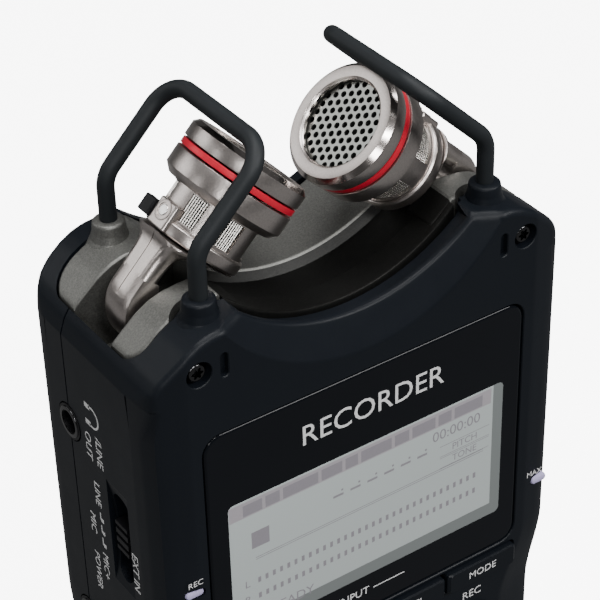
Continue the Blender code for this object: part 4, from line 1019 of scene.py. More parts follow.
def saddle_pockets():
    """Pocket of the microphone saddle, as four overlapping blocks."""
    top = SHOULDER_Z + 20.0
    levels = ((DECK_Z, 0.0), (top, 0.0))
    outer = LOBE_OUTER + FIT
    ledge = LEDGE_HALF + FIT
    return (pillow(-20.4, 20.4, FRONT_Y + 6.0, FRONT_Y + 12.0, 0.4, levels, facing_up),
            pillow(-outer, outer, LOBE_FRONT_Y - FIT, 5.0, LOBE_CORNER + FIT, levels, facing_up),
            pillow(-outer, outer, -9.0, LOBE_BACK_Y + FIT, REAR_CORNER + FIT, levels, facing_up),
            pillow(-ledge, ledge, BACK_Y - 9.0, BACK_Y - 2.1, 0.6, levels, facing_up))


def round_hole(axis, x, y, z, radius, low, high, segments=40, rim=0.0):
    """Round hole along +Y or along X."""
    profile = [(0.0, low), (radius + rim, low), (radius + rim, -0.02), (radius, rim),
               (radius, high), (0.0, high)] if rim else [
        (0.0, low), (radius, low), (radius, high), (0.0, high)]
    bm = turned(profile, segments)
    turn = rotation(-90.0, "X") if axis == "Y" else rotation(90.0, "Y")
    return place_shape(bm, Matrix.Translation((x, y, z)) @ turn)


def upright_hole(x, y, radius, low, high):
    """Round hole along Z between two heights."""
    bm = turned([(0.0, low), (radius, low), (radius, high), (0.0, high)], 48)
    return place_shape(bm, Matrix.Translation((x, y, 0.0)))


def side_slot(side, y_low, y_high, z_low, z_high, corner, depth):
    """Opening in a side wall, from outside it to a depth."""
    outer = side * (HALF + 2.0)
    inner = side * (HALF - depth)
    return pillow(y_low, y_high, z_low, z_high, corner, ((outer, 0.0), (inner, 0.0)),
                  facing_side)


def right_slot(node, corner):
    """Opening in the right wall for a piece that stands in it."""
    low, high = mm_box(node)
    return side_slot(1.0, low.y - FIT, high.y + FIT, low.z - FIT, high.z + FIT, corner, 6.0)


def lamp_shape(node, margin):
    """Rounded lamp in the front face, or the opening that it fills."""
    low, high = mm_box(node)
    inner = 31.0 if low.x > 0.0 else 28.6
    x0, x1 = sorted((math.copysign(inner, low.x), math.copysign(inner + 2.9, low.x)))
    front = FRONT_Y + 0.12
    rise = ((front - 2.0, 0.0), (front + 2.0, 0.0)) if margin else (
        (front, 0.35), (front + 0.1, 0.12), (front + 0.35, 0.0), (front + 2.0, 0.0))
    return pillow(x0 - margin, x1 + margin, low.z - margin, high.z + margin, 0.6, rise,
                  facing_front)


def finger_scoop(side, y, z):
    """Shallow scoop round a slide switch, cut by a barrel that lies across the wall."""
    half, depth, width = 9.3, 1.0, 5.6
    radius = (half ** 2 + depth ** 2) / (2.0 * depth)
    reach = math.degrees(math.asin(half * 1.15 / radius))
    facing = 90.0 + side * 90.0
    centre = side * (HALF - depth + radius)
    outline = arc((centre, z), radius, facing - reach, facing + reach, 24)
    return loft([[(a, height, b) for a, b in outline] for height in (y - width / 2.0,
                                                                     y + width / 2.0)])


# ---------------------------------------------------------------- settings
class RecorderColours(bpy.types.PropertyGroup):
    """Colours of the main finishes."""
    body: bpy.props.FloatVectorProperty(
        name="Body", description="Moulded plastic of both shells", subtype="COLOR",
        default=(0.0050, 0.0066, 0.0094), min=0.0, max=1.0)
    microphone: bpy.props.FloatVectorProperty(
        name="Microphones", description="Plated castings of the microphones", subtype="COLOR",
        default=(0.52, 0.475, 0.45), min=0.0, max=1.0)
    saddle_dark: bpy.props.FloatVectorProperty(
        name="Saddle dark", description="Ground colour of the speckled paint", subtype="COLOR",
        default=(0.085, 0.085, 0.08), min=0.0, max=1.0)
    saddle_light: bpy.props.FloatVectorProperty(
        name="Saddle light", description="Flakes of the speckled paint", subtype="COLOR",
        default=(0.22, 0.22, 0.205), min=0.0, max=1.0)
    ring: bpy.props.FloatVectorProperty(
        name="Ring", description="Red band round each microphone", subtype="COLOR",
        default=(0.60, 0.010, 0.032), min=0.0, max=1.0)
    rod: bpy.props.FloatVectorProperty(
        name="Rods", description="Rubber coat of the guard rods", subtype="COLOR",
        default=(0.009, 0.0112, 0.013), min=0.0, max=1.0)
    crystal: bpy.props.FloatVectorProperty(
        name="Display", description="Grey-green of the display", subtype="COLOR",
        default=(0.42, 0.46, 0.455), min=0.0, max=1.0)


class RecorderSizes(bpy.types.PropertyGroup):
    """Sizes of the visible details, in millimetres."""
    mesh_pitch: bpy.props.FloatProperty(
        name="Weave pitch", description="Distance between the wires of the woven sleeves",
        default=0.36, min=0.2, max=1.0)
    hole_pitch: bpy.props.FloatProperty(
        name="Hole pitch", description="Distance between the holes of the grilles",
        default=1.36, min=0.8, max=3.0)
    hole_radius: bpy.props.FloatProperty(
        name="Hole radius", description="Radius of the holes of the grilles",
        default=0.47, min=0.2, max=1.0)
    chamfer: bpy.props.FloatProperty(
        name="Chamfer", description="Polished chamfer round each microphone face",
        default=0.7, min=0.2, max=1.5)


class RecorderStudio(bpy.types.PropertyGroup):
    """Camera and light of the studio."""
    azimuth: bpy.props.FloatProperty(
        name="Azimuth", description="Camera angle round the recorder",
        default=math.radians(-33.695), subtype="ANGLE")
    elevation: bpy.props.FloatProperty(
        name="Elevation", description="Camera angle above the horizon",
        default=math.radians(35.353), subtype="ANGLE")
    roll: bpy.props.FloatProperty(
        name="Roll", description="Turn of the camera about its own axis",
        default=math.radians(-1.589), subtype="ANGLE")
    lens: bpy.props.FloatProperty(
        name="Lens", description="Focal length on a 36 mm sensor, in millimetres",
        default=126.156, min=20.0, max=400.0)
    top_light: bpy.props.FloatProperty(
        name="Top light", description="Power of the large soft light above", default=5.5,
        min=0.0, max=100.0, unit="POWER")


def settings():
    """The three groups of settings of the current scene."""
    scene = bpy.context.scene
    return scene.recorder_colours, scene.recorder_sizes, scene.recorder_studio


# ---------------------------------------------------------------- pieces
class RECORDER_OT_finishes(bpy.types.Operator):
    """Make every finish and give the solids that keep their own shape a finish"""
    bl_idname = "recorder.finishes"
    bl_label = "Finishes"

    def execute(self, context):
        colours, _, _ = settings()
        FINISHES.update(make_finishes(colours))
        FINISHES["crystal"] = crystal_window(
            "grey_green_crystal", rgba(*colours.crystal), WINDOW_HALF - SHADOW * 0.8,
            LENS_LOW.z + 6.9 + SHADOW)
        cell = mm_box("battery_cell_1")[1].z
        FINISHES["cell"] = wrapped_cell("cell_wrap", rgba(0.03, 0.04, 0.07),
                                        rgba(0.55, 0.50, 0.40), cell - 12.0)
        own = {
            "shell": ["front_shell", "rear_shell", "battery_cover", "card_door"],
            "saddle": ["mic_base"], "lens": ["display_lens"], "board": ["main_board"],
            "brass": ["tripod_nut"], "lamp": ["peak_lamp", "four_track_lamp"],
            "key": ["volume_rocker", "direction_pad", "play_button", "menu_key", "quick_key",
                    "stop_button", "record_button", "escape_key", "input_key", "level_key",
                    "rec_mode_key"],
            "socket": ["speaker", "input_slider", "power_slider", "combo_jack_left",
                       "combo_jack_right", "headphone_jack", "remote_jack"],
            "cell": ["battery_cell_%d" % index for index in (1, 2, 3)],
            "contact": ["battery_springs"], "dark": ["lcd_panel"], "mic": [], "rod": [],
            "screw": []}
        for name, _ in SIDES:
            for finish, stem in (("mic", "mic_arm_"), ("contact", "mic_hinge_pin_"),
                                 ("contact", "mic_clamp_pin_"), ("dark", "mic_capsule_"),
                                 ("rod", "guard_rod_"), ("socket", "mic_bumper_"),
                                 ("screw", "front_screw_"), ("screw", "rear_screw_")):
                own[finish].append(stem + name)
        for finish, nodes in own.items():
            for node in nodes:
                finish_node(node, finish)
        return {"FINISHED"}


def mic_matrix(name, side):
    """From a shape made along Z, outer side towards +X, to its place on a microphone."""
    lean = rotation(-side * 45.0, "Y")
    mirror = Matrix.Diagonal((side, 1.0, 1.0, 1.0))
    return Matrix.Translation(PIVOTS[name]) @ lean @ mirror


def mic_piece(part, name, bm, finish, replaced=(), angle=32.0):
    """One piece of a microphone, made along Z with its outer side towards +X."""
    side = dict(SIDES)[name]
    body = NODE_BODY["mic_body_" + name]
    return put(name + "_microphone_" + part, bm, finish, body, replaced,
               mic_matrix(name, side), angle)


HEAD_RADIUS = 9.15
FOOT_LEVEL = 8.9
# middle and half spread of each rib of the basket, in degrees from the outer side
RIBS = {"left": ((0.0, 16.0), (90.0, 16.0), (180.0, 16.0), (256.0, 14.0), (314.0, 7.0)),
        "right": ((0.0, 16.0), (90.0, 16.0), (180.0, 16.0), (270.0, 16.0))}
REAR_RADIUS = 7.3


def head_profile(inner, low, high, outer, bevel_low, bevel_high):
    """Ring section with its two outer edges chamfered and slightly rounded."""
    points = [(inner, low), (outer - bevel_low, low), (outer, low + bevel_low),
              (outer, high - bevel_high), (outer - bevel_high, high), (inner, high)]
    return eased(points, 0.12, 2)


class RECORDER_OT_microphones(bpy.types.Operator):
    """Turned, pierced and woven pieces of both microphones"""
    bl_idname = "recorder.microphones"
    bl_label = "Microphones"

    def execute(self, context):
        _, sizes, _ = settings()
        for name, _ in SIDES:
            self.arm(name)
            self.body(name)
            self.front(name, sizes)
            self.small_parts(name)
        return {"FINISHED"}

    def arm(self, name):
        """Shank that rises from the knuckle and flares into the rear ring, hollow inside."""
        half, ease = 3.15, 1.5
        knuckle = arc((0.0, 0.0), 6.4, 215.0, 360.0, 30)
        outline = [(6.4, 2.6), (4.6, 2.6), (2.6, 0.6), (-1.5, -0.9)] + knuckle
        sections = []
        for y, inset in ((-half, ease), (-half + ease * 0.3, ease * 0.3), (-half + ease, 0.0),
                         (half - ease, 0.0), (half - ease * 0.3, ease * 0.3), (half, ease)):
            share = 1.0 - inset / 6.4
            sections.append([(x * share, y, z * share if z < 2.5 else z) for x, z in outline])
        rows = []
        for u, x_in, x_out, y_half, corner in (
                (2.2, 3.4, 6.4, 3.15, 1.4), (3.8, 3.3, 6.4, 3.15, 1.4),
                (5.2, 3.2, 6.4, 3.2, 1.4), (6.3, 3.0, 6.42, 3.4, 1.5), (7.1, 2.6, 6.5, 3.9, 1.8),
                (7.7, 2.0, 6.65, 4.7, 1.9), (8.15, 0.0, 6.85, 5.7, 3.0),
                (8.4, -3.6, 7.05, 6.4, 4.6), (8.6, -6.9, 7.1, 6.9, 6.8)):
            rows.append([(a, b, u) for a, b in rounded_rect(x_in, x_out, -y_half, y_half,
                                                            corner, 8)])
        arm = mic_piece("arm", name, loft(rows), "mic", ("mic_arm_" + name,))
        there = mic_matrix(name, dict(SIDES)[name])
        unite(arm, place_shape(loft(sections), there))
        carve(arm, place_shape(block((6.25, -0.07, -1.5), (7.6, 0.07, 8.3)), there))
        resharpen(arm)
        weigh_normals(arm)

    def body(self, name):
        """Rear ring, ribs of the basket and head ring, with the clamp tab."""
        bm = turned(head_profile(5.6, FOOT_LEVEL, 10.9, REAR_RADIUS, 0.25, 0.3), 72)
        head = eased([(5.9, 15.75), (8.1, 15.75), (HEAD_RADIUS, 16.8), (HEAD_RADIUS, 19.62),
                      (7.4, 19.62), (7.4, 17.0), (5.9, 17.0)], 0.15, 2)
        turned(head, 72, bm)
        outer = 6.85
        for facing, spread in RIBS[name]:
            sections = []
            for u in (10.7, 13.4, 16.0):
                flank = arc((0.0, 0.0), outer, facing - spread, facing + spread, 8)
                back = arc((0.0, 0.0), 5.7, facing + spread, facing - spread, 8)
                sections.append([(x, y, u) for x, y in flank + back])
            loft(sections, bm)
        for low, high in ((10.8, 11.35), (15.4, 15.9)):
            turned(eased([(5.7, low), (outer, low), (outer, high), (5.7, high)], 0.1, 2), 72, bm)
        pillow(5.9, 7.72, -2.05, 2.05, 0.5, ((FOOT_LEVEL + 0.1, 0.2), (FOOT_LEVEL + 0.3, 0.0),
                                              (12.7, 0.0), (12.9, 0.2)), facing_up, bm)
        mic_piece("body", name, bm, "mic", ("mic_body_" + name,))

    def front(self, name, sizes):
        """Red band, cap, grille and woven sleeve."""
        band = turned(eased([(7.4, 19.9), (HEAD_RADIUS - 0.12, 19.9), (HEAD_RADIUS - 0.12, 20.82),
                             (7.4, 20.82)], 0.08, 2), 96)
        mic_piece("ring", name, band, "red", ("mic_ring_" + name,))
        low, face = 21.1, 23.85
        cap = turned(eased([(7.4, low), (HEAD_RADIUS, low), (HEAD_RADIUS, face - sizes.chamfer),
                            (HEAD_RADIUS - sizes.chamfer, face), (6.85, face), (6.5, face - 0.35),
                            (6.5, face - 0.85), (7.4, face - 0.85)], 0.1, 2), 96)
        mic_piece("cap", name, cap, "mic", ("mic_cap_" + name,))
        chamfer = sizes.chamfer
        bright = [(HEAD_RADIUS, face - chamfer - 0.02), (HEAD_RADIUS - chamfer, face)]
        shine = turned([(bright[0][0] - 0.3, bright[0][1] - 0.1), bright[0],
                        (HEAD_RADIUS + 0.008, face - chamfer + 0.006),
                        (HEAD_RADIUS - chamfer + 0.006, face + 0.008), bright[1],
                        (bright[1][0] - 0.1, bright[1][1] - 0.3)], 96)
        mic_piece("chamfer", name, shine, "polished")
        inner = turned([(6.86, face - 0.01), (6.86, face + 0.004), (6.5 - 0.004, face - 0.352),
                        (6.5 - 0.004, face - 0.6), (6.6, face - 0.6)], 96)
        mic_piece("inner_chamfer", name, inner, "polished")
        plate = from_mesh(perforated_plate(7.15, 6.75, sizes.hole_pitch, sizes.hole_radius, 0.3))
        bmesh.ops.translate(plate, vec=(0.0, 0.0, face - 1.45), verts=plate.verts)
        mic_piece("grille", name, plate, "grille", ("mic_grille_" + name,))
        backing = turned([(0.0, face - 2.2), (7.1, face - 2.2), (7.1, face - 2.0),
                          (0.0, face - 2.0)], 48)
        mic_piece("wind_cloth", name, backing, "dark")
        sleeve = from_mesh(woven_sleeve(6.35, 11.2, 15.6, sizes.mesh_pitch, 0.085))
        mic_piece("mesh", name, sleeve, "weave", ("mic_mesh_" + name,), 60.0)
        lining = turned([(5.9, 10.95), (6.05, 10.95), (6.05, 15.7), (5.9, 15.7)], 48)
        mic_piece("lining", name, lining, "dark")

    def small_parts(self, name):
        """Clamp pin and rubber bumper."""
        there = Matrix.Translation((0.0, 0.0, 11.4)) @ rotation(90.0, "Y")
        pin = turned(eased([(0.0, 6.9), (0.8, 6.9), (0.8, 7.86), (0.0, 7.86)], 0.15, 3), 32)
        place_shape(pin, there)
        mic_piece("clamp_pin", name, pin, "contact", ("mic_clamp_pin_" + name,))
        seat = turned(eased([(1.08, 7.2), (1.5, 7.2), (1.5, 7.82), (1.08, 7.82)], 0.1, 2), 32)
        place_shape(seat, there)
        mic_piece("pin_seat", name, seat, "mic")
        bumper = pillow(6.7, 8.15, 1.9, 4.3, 0.25, ((9.45, 0.15), (9.6, 0.0), (11.8, 0.0),
                                                    (11.95, 0.15)), facing_up)
        mic_piece("bumper", name, bumper, "socket", ("mic_bumper_" + name,))


ROD_RADIUS = 1.25
ROD_BEND = 4.5
COAT = 0.02


class RECORDER_OT_guards(bpy.types.Operator):
    """Guard rods and the collars that they stand in"""
    bl_idname = "recorder.guards"
    bl_label = "Guard rods"

    def execute(self, context):
        for name, side in SIDES:
            low, high = mm_box("guard_rod_" + name)
            outer = max(abs(low.x), abs(high.x)) - ROD_RADIUS
            inner = min(abs(low.x), abs(high.x)) + ROD_RADIUS
            front, back = low.y + ROD_RADIUS, high.y - ROD_RADIUS
            top = high.z - ROD_RADIUS
            knee = top - 11.25
            corners = [Vector((side * x, y, z)) for x, y, z in (
                (outer, front, low.z), (outer, front, knee), (inner, front, top),
                (inner, back, top), (outer, back, knee), (outer, back, low.z))]
            rod = sweep(rounded_path(corners, ROD_BEND, 18), ROD_RADIUS + COAT, 28)
            put("guard_rod_" + name, rod, "rod", HOUSING, ("guard_rod_" + name,))
            for place, y, finish in (("front", front, "shell"), ("rear", back, "saddle")):
                profile = eased([(0.0, low.z - 1.2), (4.1, low.z - 1.2), (3.5, low.z + 0.4),
                                 (2.75, low.z + 1.5), (2.45, low.z + 2.6), (2.3, low.z + 4.15),
                                 (1.3, low.z + 4.3), (0.0, low.z + 4.3)], 0.5, 3)
                bm = turned(profile, 56)
                put("collar_%s_%s" % (place, name), bm, finish, HOUSING,
                    (),
                    Matrix.Translation((side * outer, y, 0.0)))
        return {"FINISHED"}


class RECORDER_OT_display(bpy.types.Operator):
    """Lens plate, display window and everything drawn on it"""
    bl_idname = "recorder.display"
    bl_label = "Display"

    def execute(self, context):
        front = FRONT_Y
        plate = pillow(LENS_LOW.x, LENS_HIGH.x, LENS_LOW.z, LENS_HIGH.z, 2.8,
                       ((front, 0.45), (front + 0.07, 0.2), (front + 0.22, 0.05),
                        (front + 0.45, 0.0), (LENS_HIGH.y, 0.0)), facing_front)
        weigh_normals(put("lens_plate", plate, "lens", HOUSING, ("display_lens",)))
        low_z, high_z = LENS_HIGH.z - 38.1, LENS_HIGH.z - 13.07
        window = pillow(-WINDOW_HALF, WINDOW_HALF, low_z, high_z, 0.9,
                        ((front - 0.012, 0.05), (front - 0.008, 0.0), (front + 0.3, 0.0)),
                        facing_front)
        put("display_window", window, "crystal", HOUSING)
        band = bmesh.new()
        bar(-24.1, 22.0, high_z - 3.1, high_z - 0.35, facing_front, front - 0.013, 0.004, band)
        put("display_band", band, "band", HOUSING)
        self.picture(front - 0.016, high_z)
        return {"FINISHED"}

    def picture(self, y, high_z):
        """Segments of the display: status bar, counters, bars and boxed labels."""
        bm = bmesh.new()

        def mark(x0, x1, z0, z1):
            bar(x0, x1, z0, z1, facing_front, y, 0.006, bm)

        top = high_z - 0.9
        x = -21.8
        for width in (3.2, 2.4, 6.0, 3.6, 2.2, 5.4, 2.6, 4.2, 2.4, 5.2):
            mark(x, x + width, top - 2.0, top)
            x += width + 0.55
        for row in (0.0, 0.36):
            mark(-20.0, 20.8, high_z - 11.3 - row, high_z - 11.18 - row)
        lettering("00:00:00", 2.6, front_text(15.6, high_z - 4.8, y), bm, 0.004)
        for index in range(6):
            mark(-6.6 + 3.0 * index, -4.8 + 3.0 * index, high_z - 7.2, high_z - 6.8)
            mark(-5.2 + 3.0 * index, -4.85 + 3.0 * index, high_z - 6.4, high_z - 6.05)
        mark(-20.6, -17.6, high_z - 9.4, high_z - 6.4)
        for level, word in ((8.0, "PITCH"), (10.2, "TONE")):
            z = high_z - level
            lettering(word, 1.7, front_text(17.2, z, y), bm, 0.004)
            for shift in (-0.95, 0.95):
                mark(12.6, 21.8, z + shift - 0.05, z + shift + 0.05)
        for side, level in (("L", 15.6), ("R", 18.6)):
            lettering(side, 1.9, front_text(-21.6, high_z - level, y), bm, 0.004)
            for index in range(32):
                mark(-19.8 + 1.25 * index, -19.3 + 1.25 * index, high_z - level - 0.5,
                     high_z - level + 0.5)
        lettering("READY", 2.4, front_text(-14.0, high_z - 22.4, y), bm, 0.004)
        put("display_segments", bm, "segment", HOUSING)


class RECORDER_OT_legends(bpy.types.Operator):
    """Plain printed words and signs on the housing and on the keys"""
    bl_idname = "recorder.legends"
    bl_label = "Legends"

    def execute(self, context):
        bm = bmesh.new()
        lift = FRONT_Y - 0.004
        lettering("RECORDER", 4.9, front_text(0.6, LENS_HIGH.z - 6.7, lift), bm)
        z = LENS_HIGH.z - 41.2
        lettering("INPUT", 2.0, front_text(-3.2, z, lift), bm)
        for low, high in ((-13.2, -6.9), (0.4, 6.2)):
            bar(low, high, z - 0.09, z + 0.09, facing_front, lift - 0.01, 0.02, bm)
        put("plate_legends", bm, "ink", HOUSING)
        self.front_marks(lift)
        self.side_marks()
        return {"FINISHED"}

    def front_marks(self, lift):
        """Words of the lamps, the two round buttons and the keys."""
        bm = bmesh.new()
        top = mm_box("record_button")[1].z + 1.9
        for node, word, x in (("peak_lamp", "MAX", 31.2), ("four_track_lamp", "REC", -30.0)):
            lettering(word, 1.4, front_text(x, mm_box(node)[1].z + 1.4, lift), bm)
        for word, size, x, z in (("STOP", 1.9, middle("stop_button")[0], top),
                                 ("REC", 2.1, middle("record_button")[0], top),
                                 ("MENU", 1.7, -19.5, 28.3), ("QUICK", 1.7, 19.5, 28.3)):
            lettering(word, size, front_text(x, z, lift), bm)
        put("front_legends", bm, "ink", HOUSING)
        for node, word in (("escape_key", "EXIT"), ("input_key", "IN"), ("level_key", "LEVEL"),
                           ("rec_mode_key", "MODE")):
            x, _, z = middle(node)
            word_bm = bmesh.new()
            lettering(word, 1.9, front_text(x, z, mm_box(node)[0].y - 0.004), word_bm)
            put(node + "_legend", word_bm, "ink", NODE_BODY[node])

    def side_marks(self):
        """Words and a headphone sign down the left wall, their tops towards the front."""
        bm = bmesh.new()
        x = SHELL_LOW.x - 0.006
        jack = mm_box("headphone_jack")[1].z - 2.9
        sign_y, sign_z = 0.3, jack + 5.0
        inner = arc((sign_y, sign_z), 1.5, 60.0, 300.0, 16)
        outer = arc((sign_y, sign_z), 1.85, 60.0, 300.0, 16)
        for i in range(16):
            corners = (inner[i], inner[i + 1], outer[i + 1], outer[i])
            bm.faces.new([bm.verts.new(facing_side(a, b, x)) for a, b in corners])
        for z in (-1.45, 1.45):
            bar(sign_y + 0.5, sign_y + 1.9, sign_z + z - 0.42, sign_z + z + 0.42, facing_side, x,
                0.012, bm)
        for word, size, y, drop in (
                ("/LINE", 2.3, -0.8, 0.6), ("OUT", 2.3, 2.1, 0.9), ("LINE", 2.2, 0.9, 9.1),
                ("MIC", 2.2, 3.1, 15.8), ("MIC+", 2.2, 0.4, 22.5), ("POWER", 2.1, 3.0, 25.0),
                ("EXT IN", 2.3, -8.6, 17.1), ("REMOTE", 1.9, 1.8, 39.0)):
            lettering(word, size, left_text(y, jack - drop, x), bm)
        for drop in (13.6, 16.0, 18.4):
            bar(-0.2, 0.5, jack - drop - 0.35, jack - drop + 0.35, facing_side, x, 0.012, bm)
            bar(0.5, 0.75, jack - drop - 0.1, jack - drop + 1.3, facing_side, x, 0.012, bm)
        put("side_legends", bm, "ink", HOUSING)


class RECORDER_OT_fittings(bpy.types.Operator):
    """Screws, lamps and socket rings"""
    bl_idname = "recorder.fittings"
    bl_label = "Fittings"

    def execute(self, context):
        for name, _ in SIDES:
            for place, facing in (("front", 1.0), ("rear", -1.0)):
                self.screw(place + "_screw_" + name, facing)
        for node in ("peak_lamp", "four_track_lamp"):
            put(node + "_lens", lamp_shape(node, 0.0), "lamp", HOUSING, (node,))
        for node in ("headphone_jack", "remote_jack"):
            _, y, z = middle(node)
            rim = turned(eased([(1.9, -0.2), (2.5, -0.2), (2.5, 0.14), (1.9, 0.14)], 0.14, 4), 48)
            there = Matrix.Translation((mm_box(node)[0].x, y, z)) @ rotation(-90.0, "Y")
            put(node + "_rim", rim, "screw", HOUSING, (), there)
        return {"FINISHED"}

    def screw(self, node, facing):
        """Domed head with a six-pointed recess."""
        low, high = mm_box(node)
        x, _, z = middle(node)
        radius = (high.x - low.x) / 2.0 + 0.12
        tall = high.y - FRONT_Y - 0.5 if facing > 0.0 else BACK_Y - 0.5 - low.y
        bm = turned(eased([(0.0, tall), (radius, tall), (radius, 0.7),
                           (radius * 0.7, 0.05), (0.0, 0.0)], 0.3, 3), 40)
        start = FRONT_Y + 0.5 if facing > 0.0 else BACK_Y - 0.5
        angle = -90.0 if facing > 0.0 else 90.0
        matrix = Matrix.Translation((x, start, z)) @ rotation(angle, "X")
        head = put(node, bm, "screw", HOUSING, (node,), matrix)
        star = []
        for index in range(36):
            reach = radius * (0.42 + 0.11 * math.cos(math.radians(60.0 * index)))
            turn = math.radians(10.0 * index)
            star.append((reach * math.cos(turn), reach * math.sin(turn)))
        cutter = loft([[(a * size, b * size, level) for a, b in star]
                       for level, size in ((-0.4, 1.2), (0.16, 1.0), (0.75, 0.85))])
        carve(head, place_shape(cutter, matrix))
        resharpen(head, 40.0)


class RECORDER_OT_housing(bpy.types.Operator):
    """Both shells with their rounded shoulders and every opening"""
    bl_idname = "recorder.housing"
    bl_label = "Housing"

    def execute(self, context):
        outline = full_outline()
        front = put("front_housing", loft(front_rings(outline)), "shell", HOUSING,
                    ("front_shell",), None, 34.0)
        rear = put("rear_housing", loft(rear_rings(outline)), "shell", HOUSING,
                   ("rear_shell",), None, 34.0)
        for shell in (front, rear):
            carve(shell, cavity())
            for pocket in saddle_pockets():
                carve(shell, pocket)
            for name, side in SIDES:
                _, y, _ = middle("combo_jack_" + name)
                carve(shell, upright_hole(side * 16.2, y, 11.3, -1.0, 4.0))
            for node in ("headphone_jack", "remote_jack"):
                _, y, z = middle(node)
                carve(shell, round_hole("X", -HALF, y, z, 3.1, -3.0, 6.0))
        self.front_openings(front)
        self.rear_openings(rear)
        for shell in (front, rear):
            weigh_normals(shell)
        return {"FINISHED"}

    def front_openings(self, shell):
        """Recesses and holes of the display face and of the walls beside it."""
        carve(shell, front_opening("display_lens", 0.26, 2.9, 1.9, 0.14))
        carve(shell, pillow(LENS_LOW.x + 1.9, LENS_HIGH.x - 1.9, LENS_LOW.z + 1.9,
                            LENS_HIGH.z - 1.9, 1.0,
                            ((FRONT_Y, 0.0), (FRONT_Y + 4.6, 0.0)), facing_front))
        first, last = mm_box("escape_key"), mm_box("rec_mode_key")
        carve(shell, pillow(LENS_LOW.x - 0.3, LENS_HIGH.x + 0.3, first[0].z + 0.8 - 0.3,
                            last[1].z - 0.8 + 0.3, 0.8,
                            ((FRONT_Y - 2.0, -0.1), (FRONT_Y - 0.02, -0.1),
                             (FRONT_Y + 0.1, 0.0), (FRONT_Y + KEY_WELL, 0.0)), facing_front))
        for node in ("stop_button", "record_button", "direction_pad"):
            low, high = mm_box(node)
            x, _, z = middle(node)
            carve(shell, round_hole("Y", x, FRONT_Y, z, (high.x - low.x) / 2.0 - 0.5, -2.0,
                                    KEY_WELL, 64, 0.12))
        for node in ("menu_key", "quick_key"):
            carve(shell, front_opening(node, -0.5, 1.9, KEY_WELL, 0.1))
        for name, side in SIDES:
            x, _, z = middle("front_screw_" + name)
            carve(shell, round_hole("Y", x, FRONT_Y, z, SCREW_HOLE, -1.0, 2.2, 40, 0.12))
            notch = x - side * 3.9
            carve(shell, pillow(notch - 0.6, notch + 0.6, z - 1.9, z + 1.9, 0.58,
                                ((FRONT_Y - 1.0, -0.15), (FRONT_Y - 0.02, -0.15),
                                 (FRONT_Y + 0.15, 0.0), (FRONT_Y + 0.9, 0.05)), facing_front))
        for node in ("peak_lamp", "four_track_lamp"):
            carve(shell, lamp_shape(node, 0.12))
        for node, side in (("input_slider", -1.0), ("power_slider", 1.0)):
            y, z = FRONT_Y + 11.5, middle(node)[2]
            carve(shell, finger_scoop(side, y, z))
            carve(shell, side_slot(side, y - 2.0, y + 2.0, z - 7.9, z + 7.9, 1.9, 6.0))
        carve(shell, right_slot("card_door", 0.5))

    def rear_openings(self, shell):
        """Recess of the battery cover, stand hole, loudspeaker slots, wells and rocker."""
        low, high = mm_box("battery_cover")
        carve(shell, block((low.x - 0.3, low.y - 0.3, -1.0), (high.x + 0.3, BACK_Y + 1.0,
                                                              high.z + 0.3)))
        cell = mm_box("battery_cell_1")
        reach = -cell[0].x + 1.0
        carve(shell, block((-reach, BACK_Y - WALL, cell[0].z - 1.5), (reach, BACK_Y,
                                                                     cell[1].z + 0.8)))
        carve(shell, round_hole("Y", 0.0, BACK_Y - WALL, middle("tripod_nut")[2], 6.75, 0.0,
                                6.0, 64))
        x, _, z = middle("speaker")
        for step in range(-2, 3):
            shift = step * SPEAKER_PITCH
            reach = math.sqrt(max(SPEAKER_REACH ** 2 - shift ** 2, 1.0))
            level = z + shift
            carve(shell, pillow(x - reach, x + reach, level - 0.5, level + 0.5, 0.48,
                                ((BACK_Y - WALL, 0.0), (BACK_Y - 0.12, 0.0), (BACK_Y + 0.02, -0.1),
                                 (BACK_Y + 1.0, -0.1)), facing_front))
        for name, _ in SIDES:
            x, _, z = middle("rear_screw_" + name)
            carve(shell, round_hole("Y", x, BACK_Y - 1.6, z, SCREW_HOLE, 0.0, 3.0))
        carve(shell, right_slot("volume_rocker", 0.4))


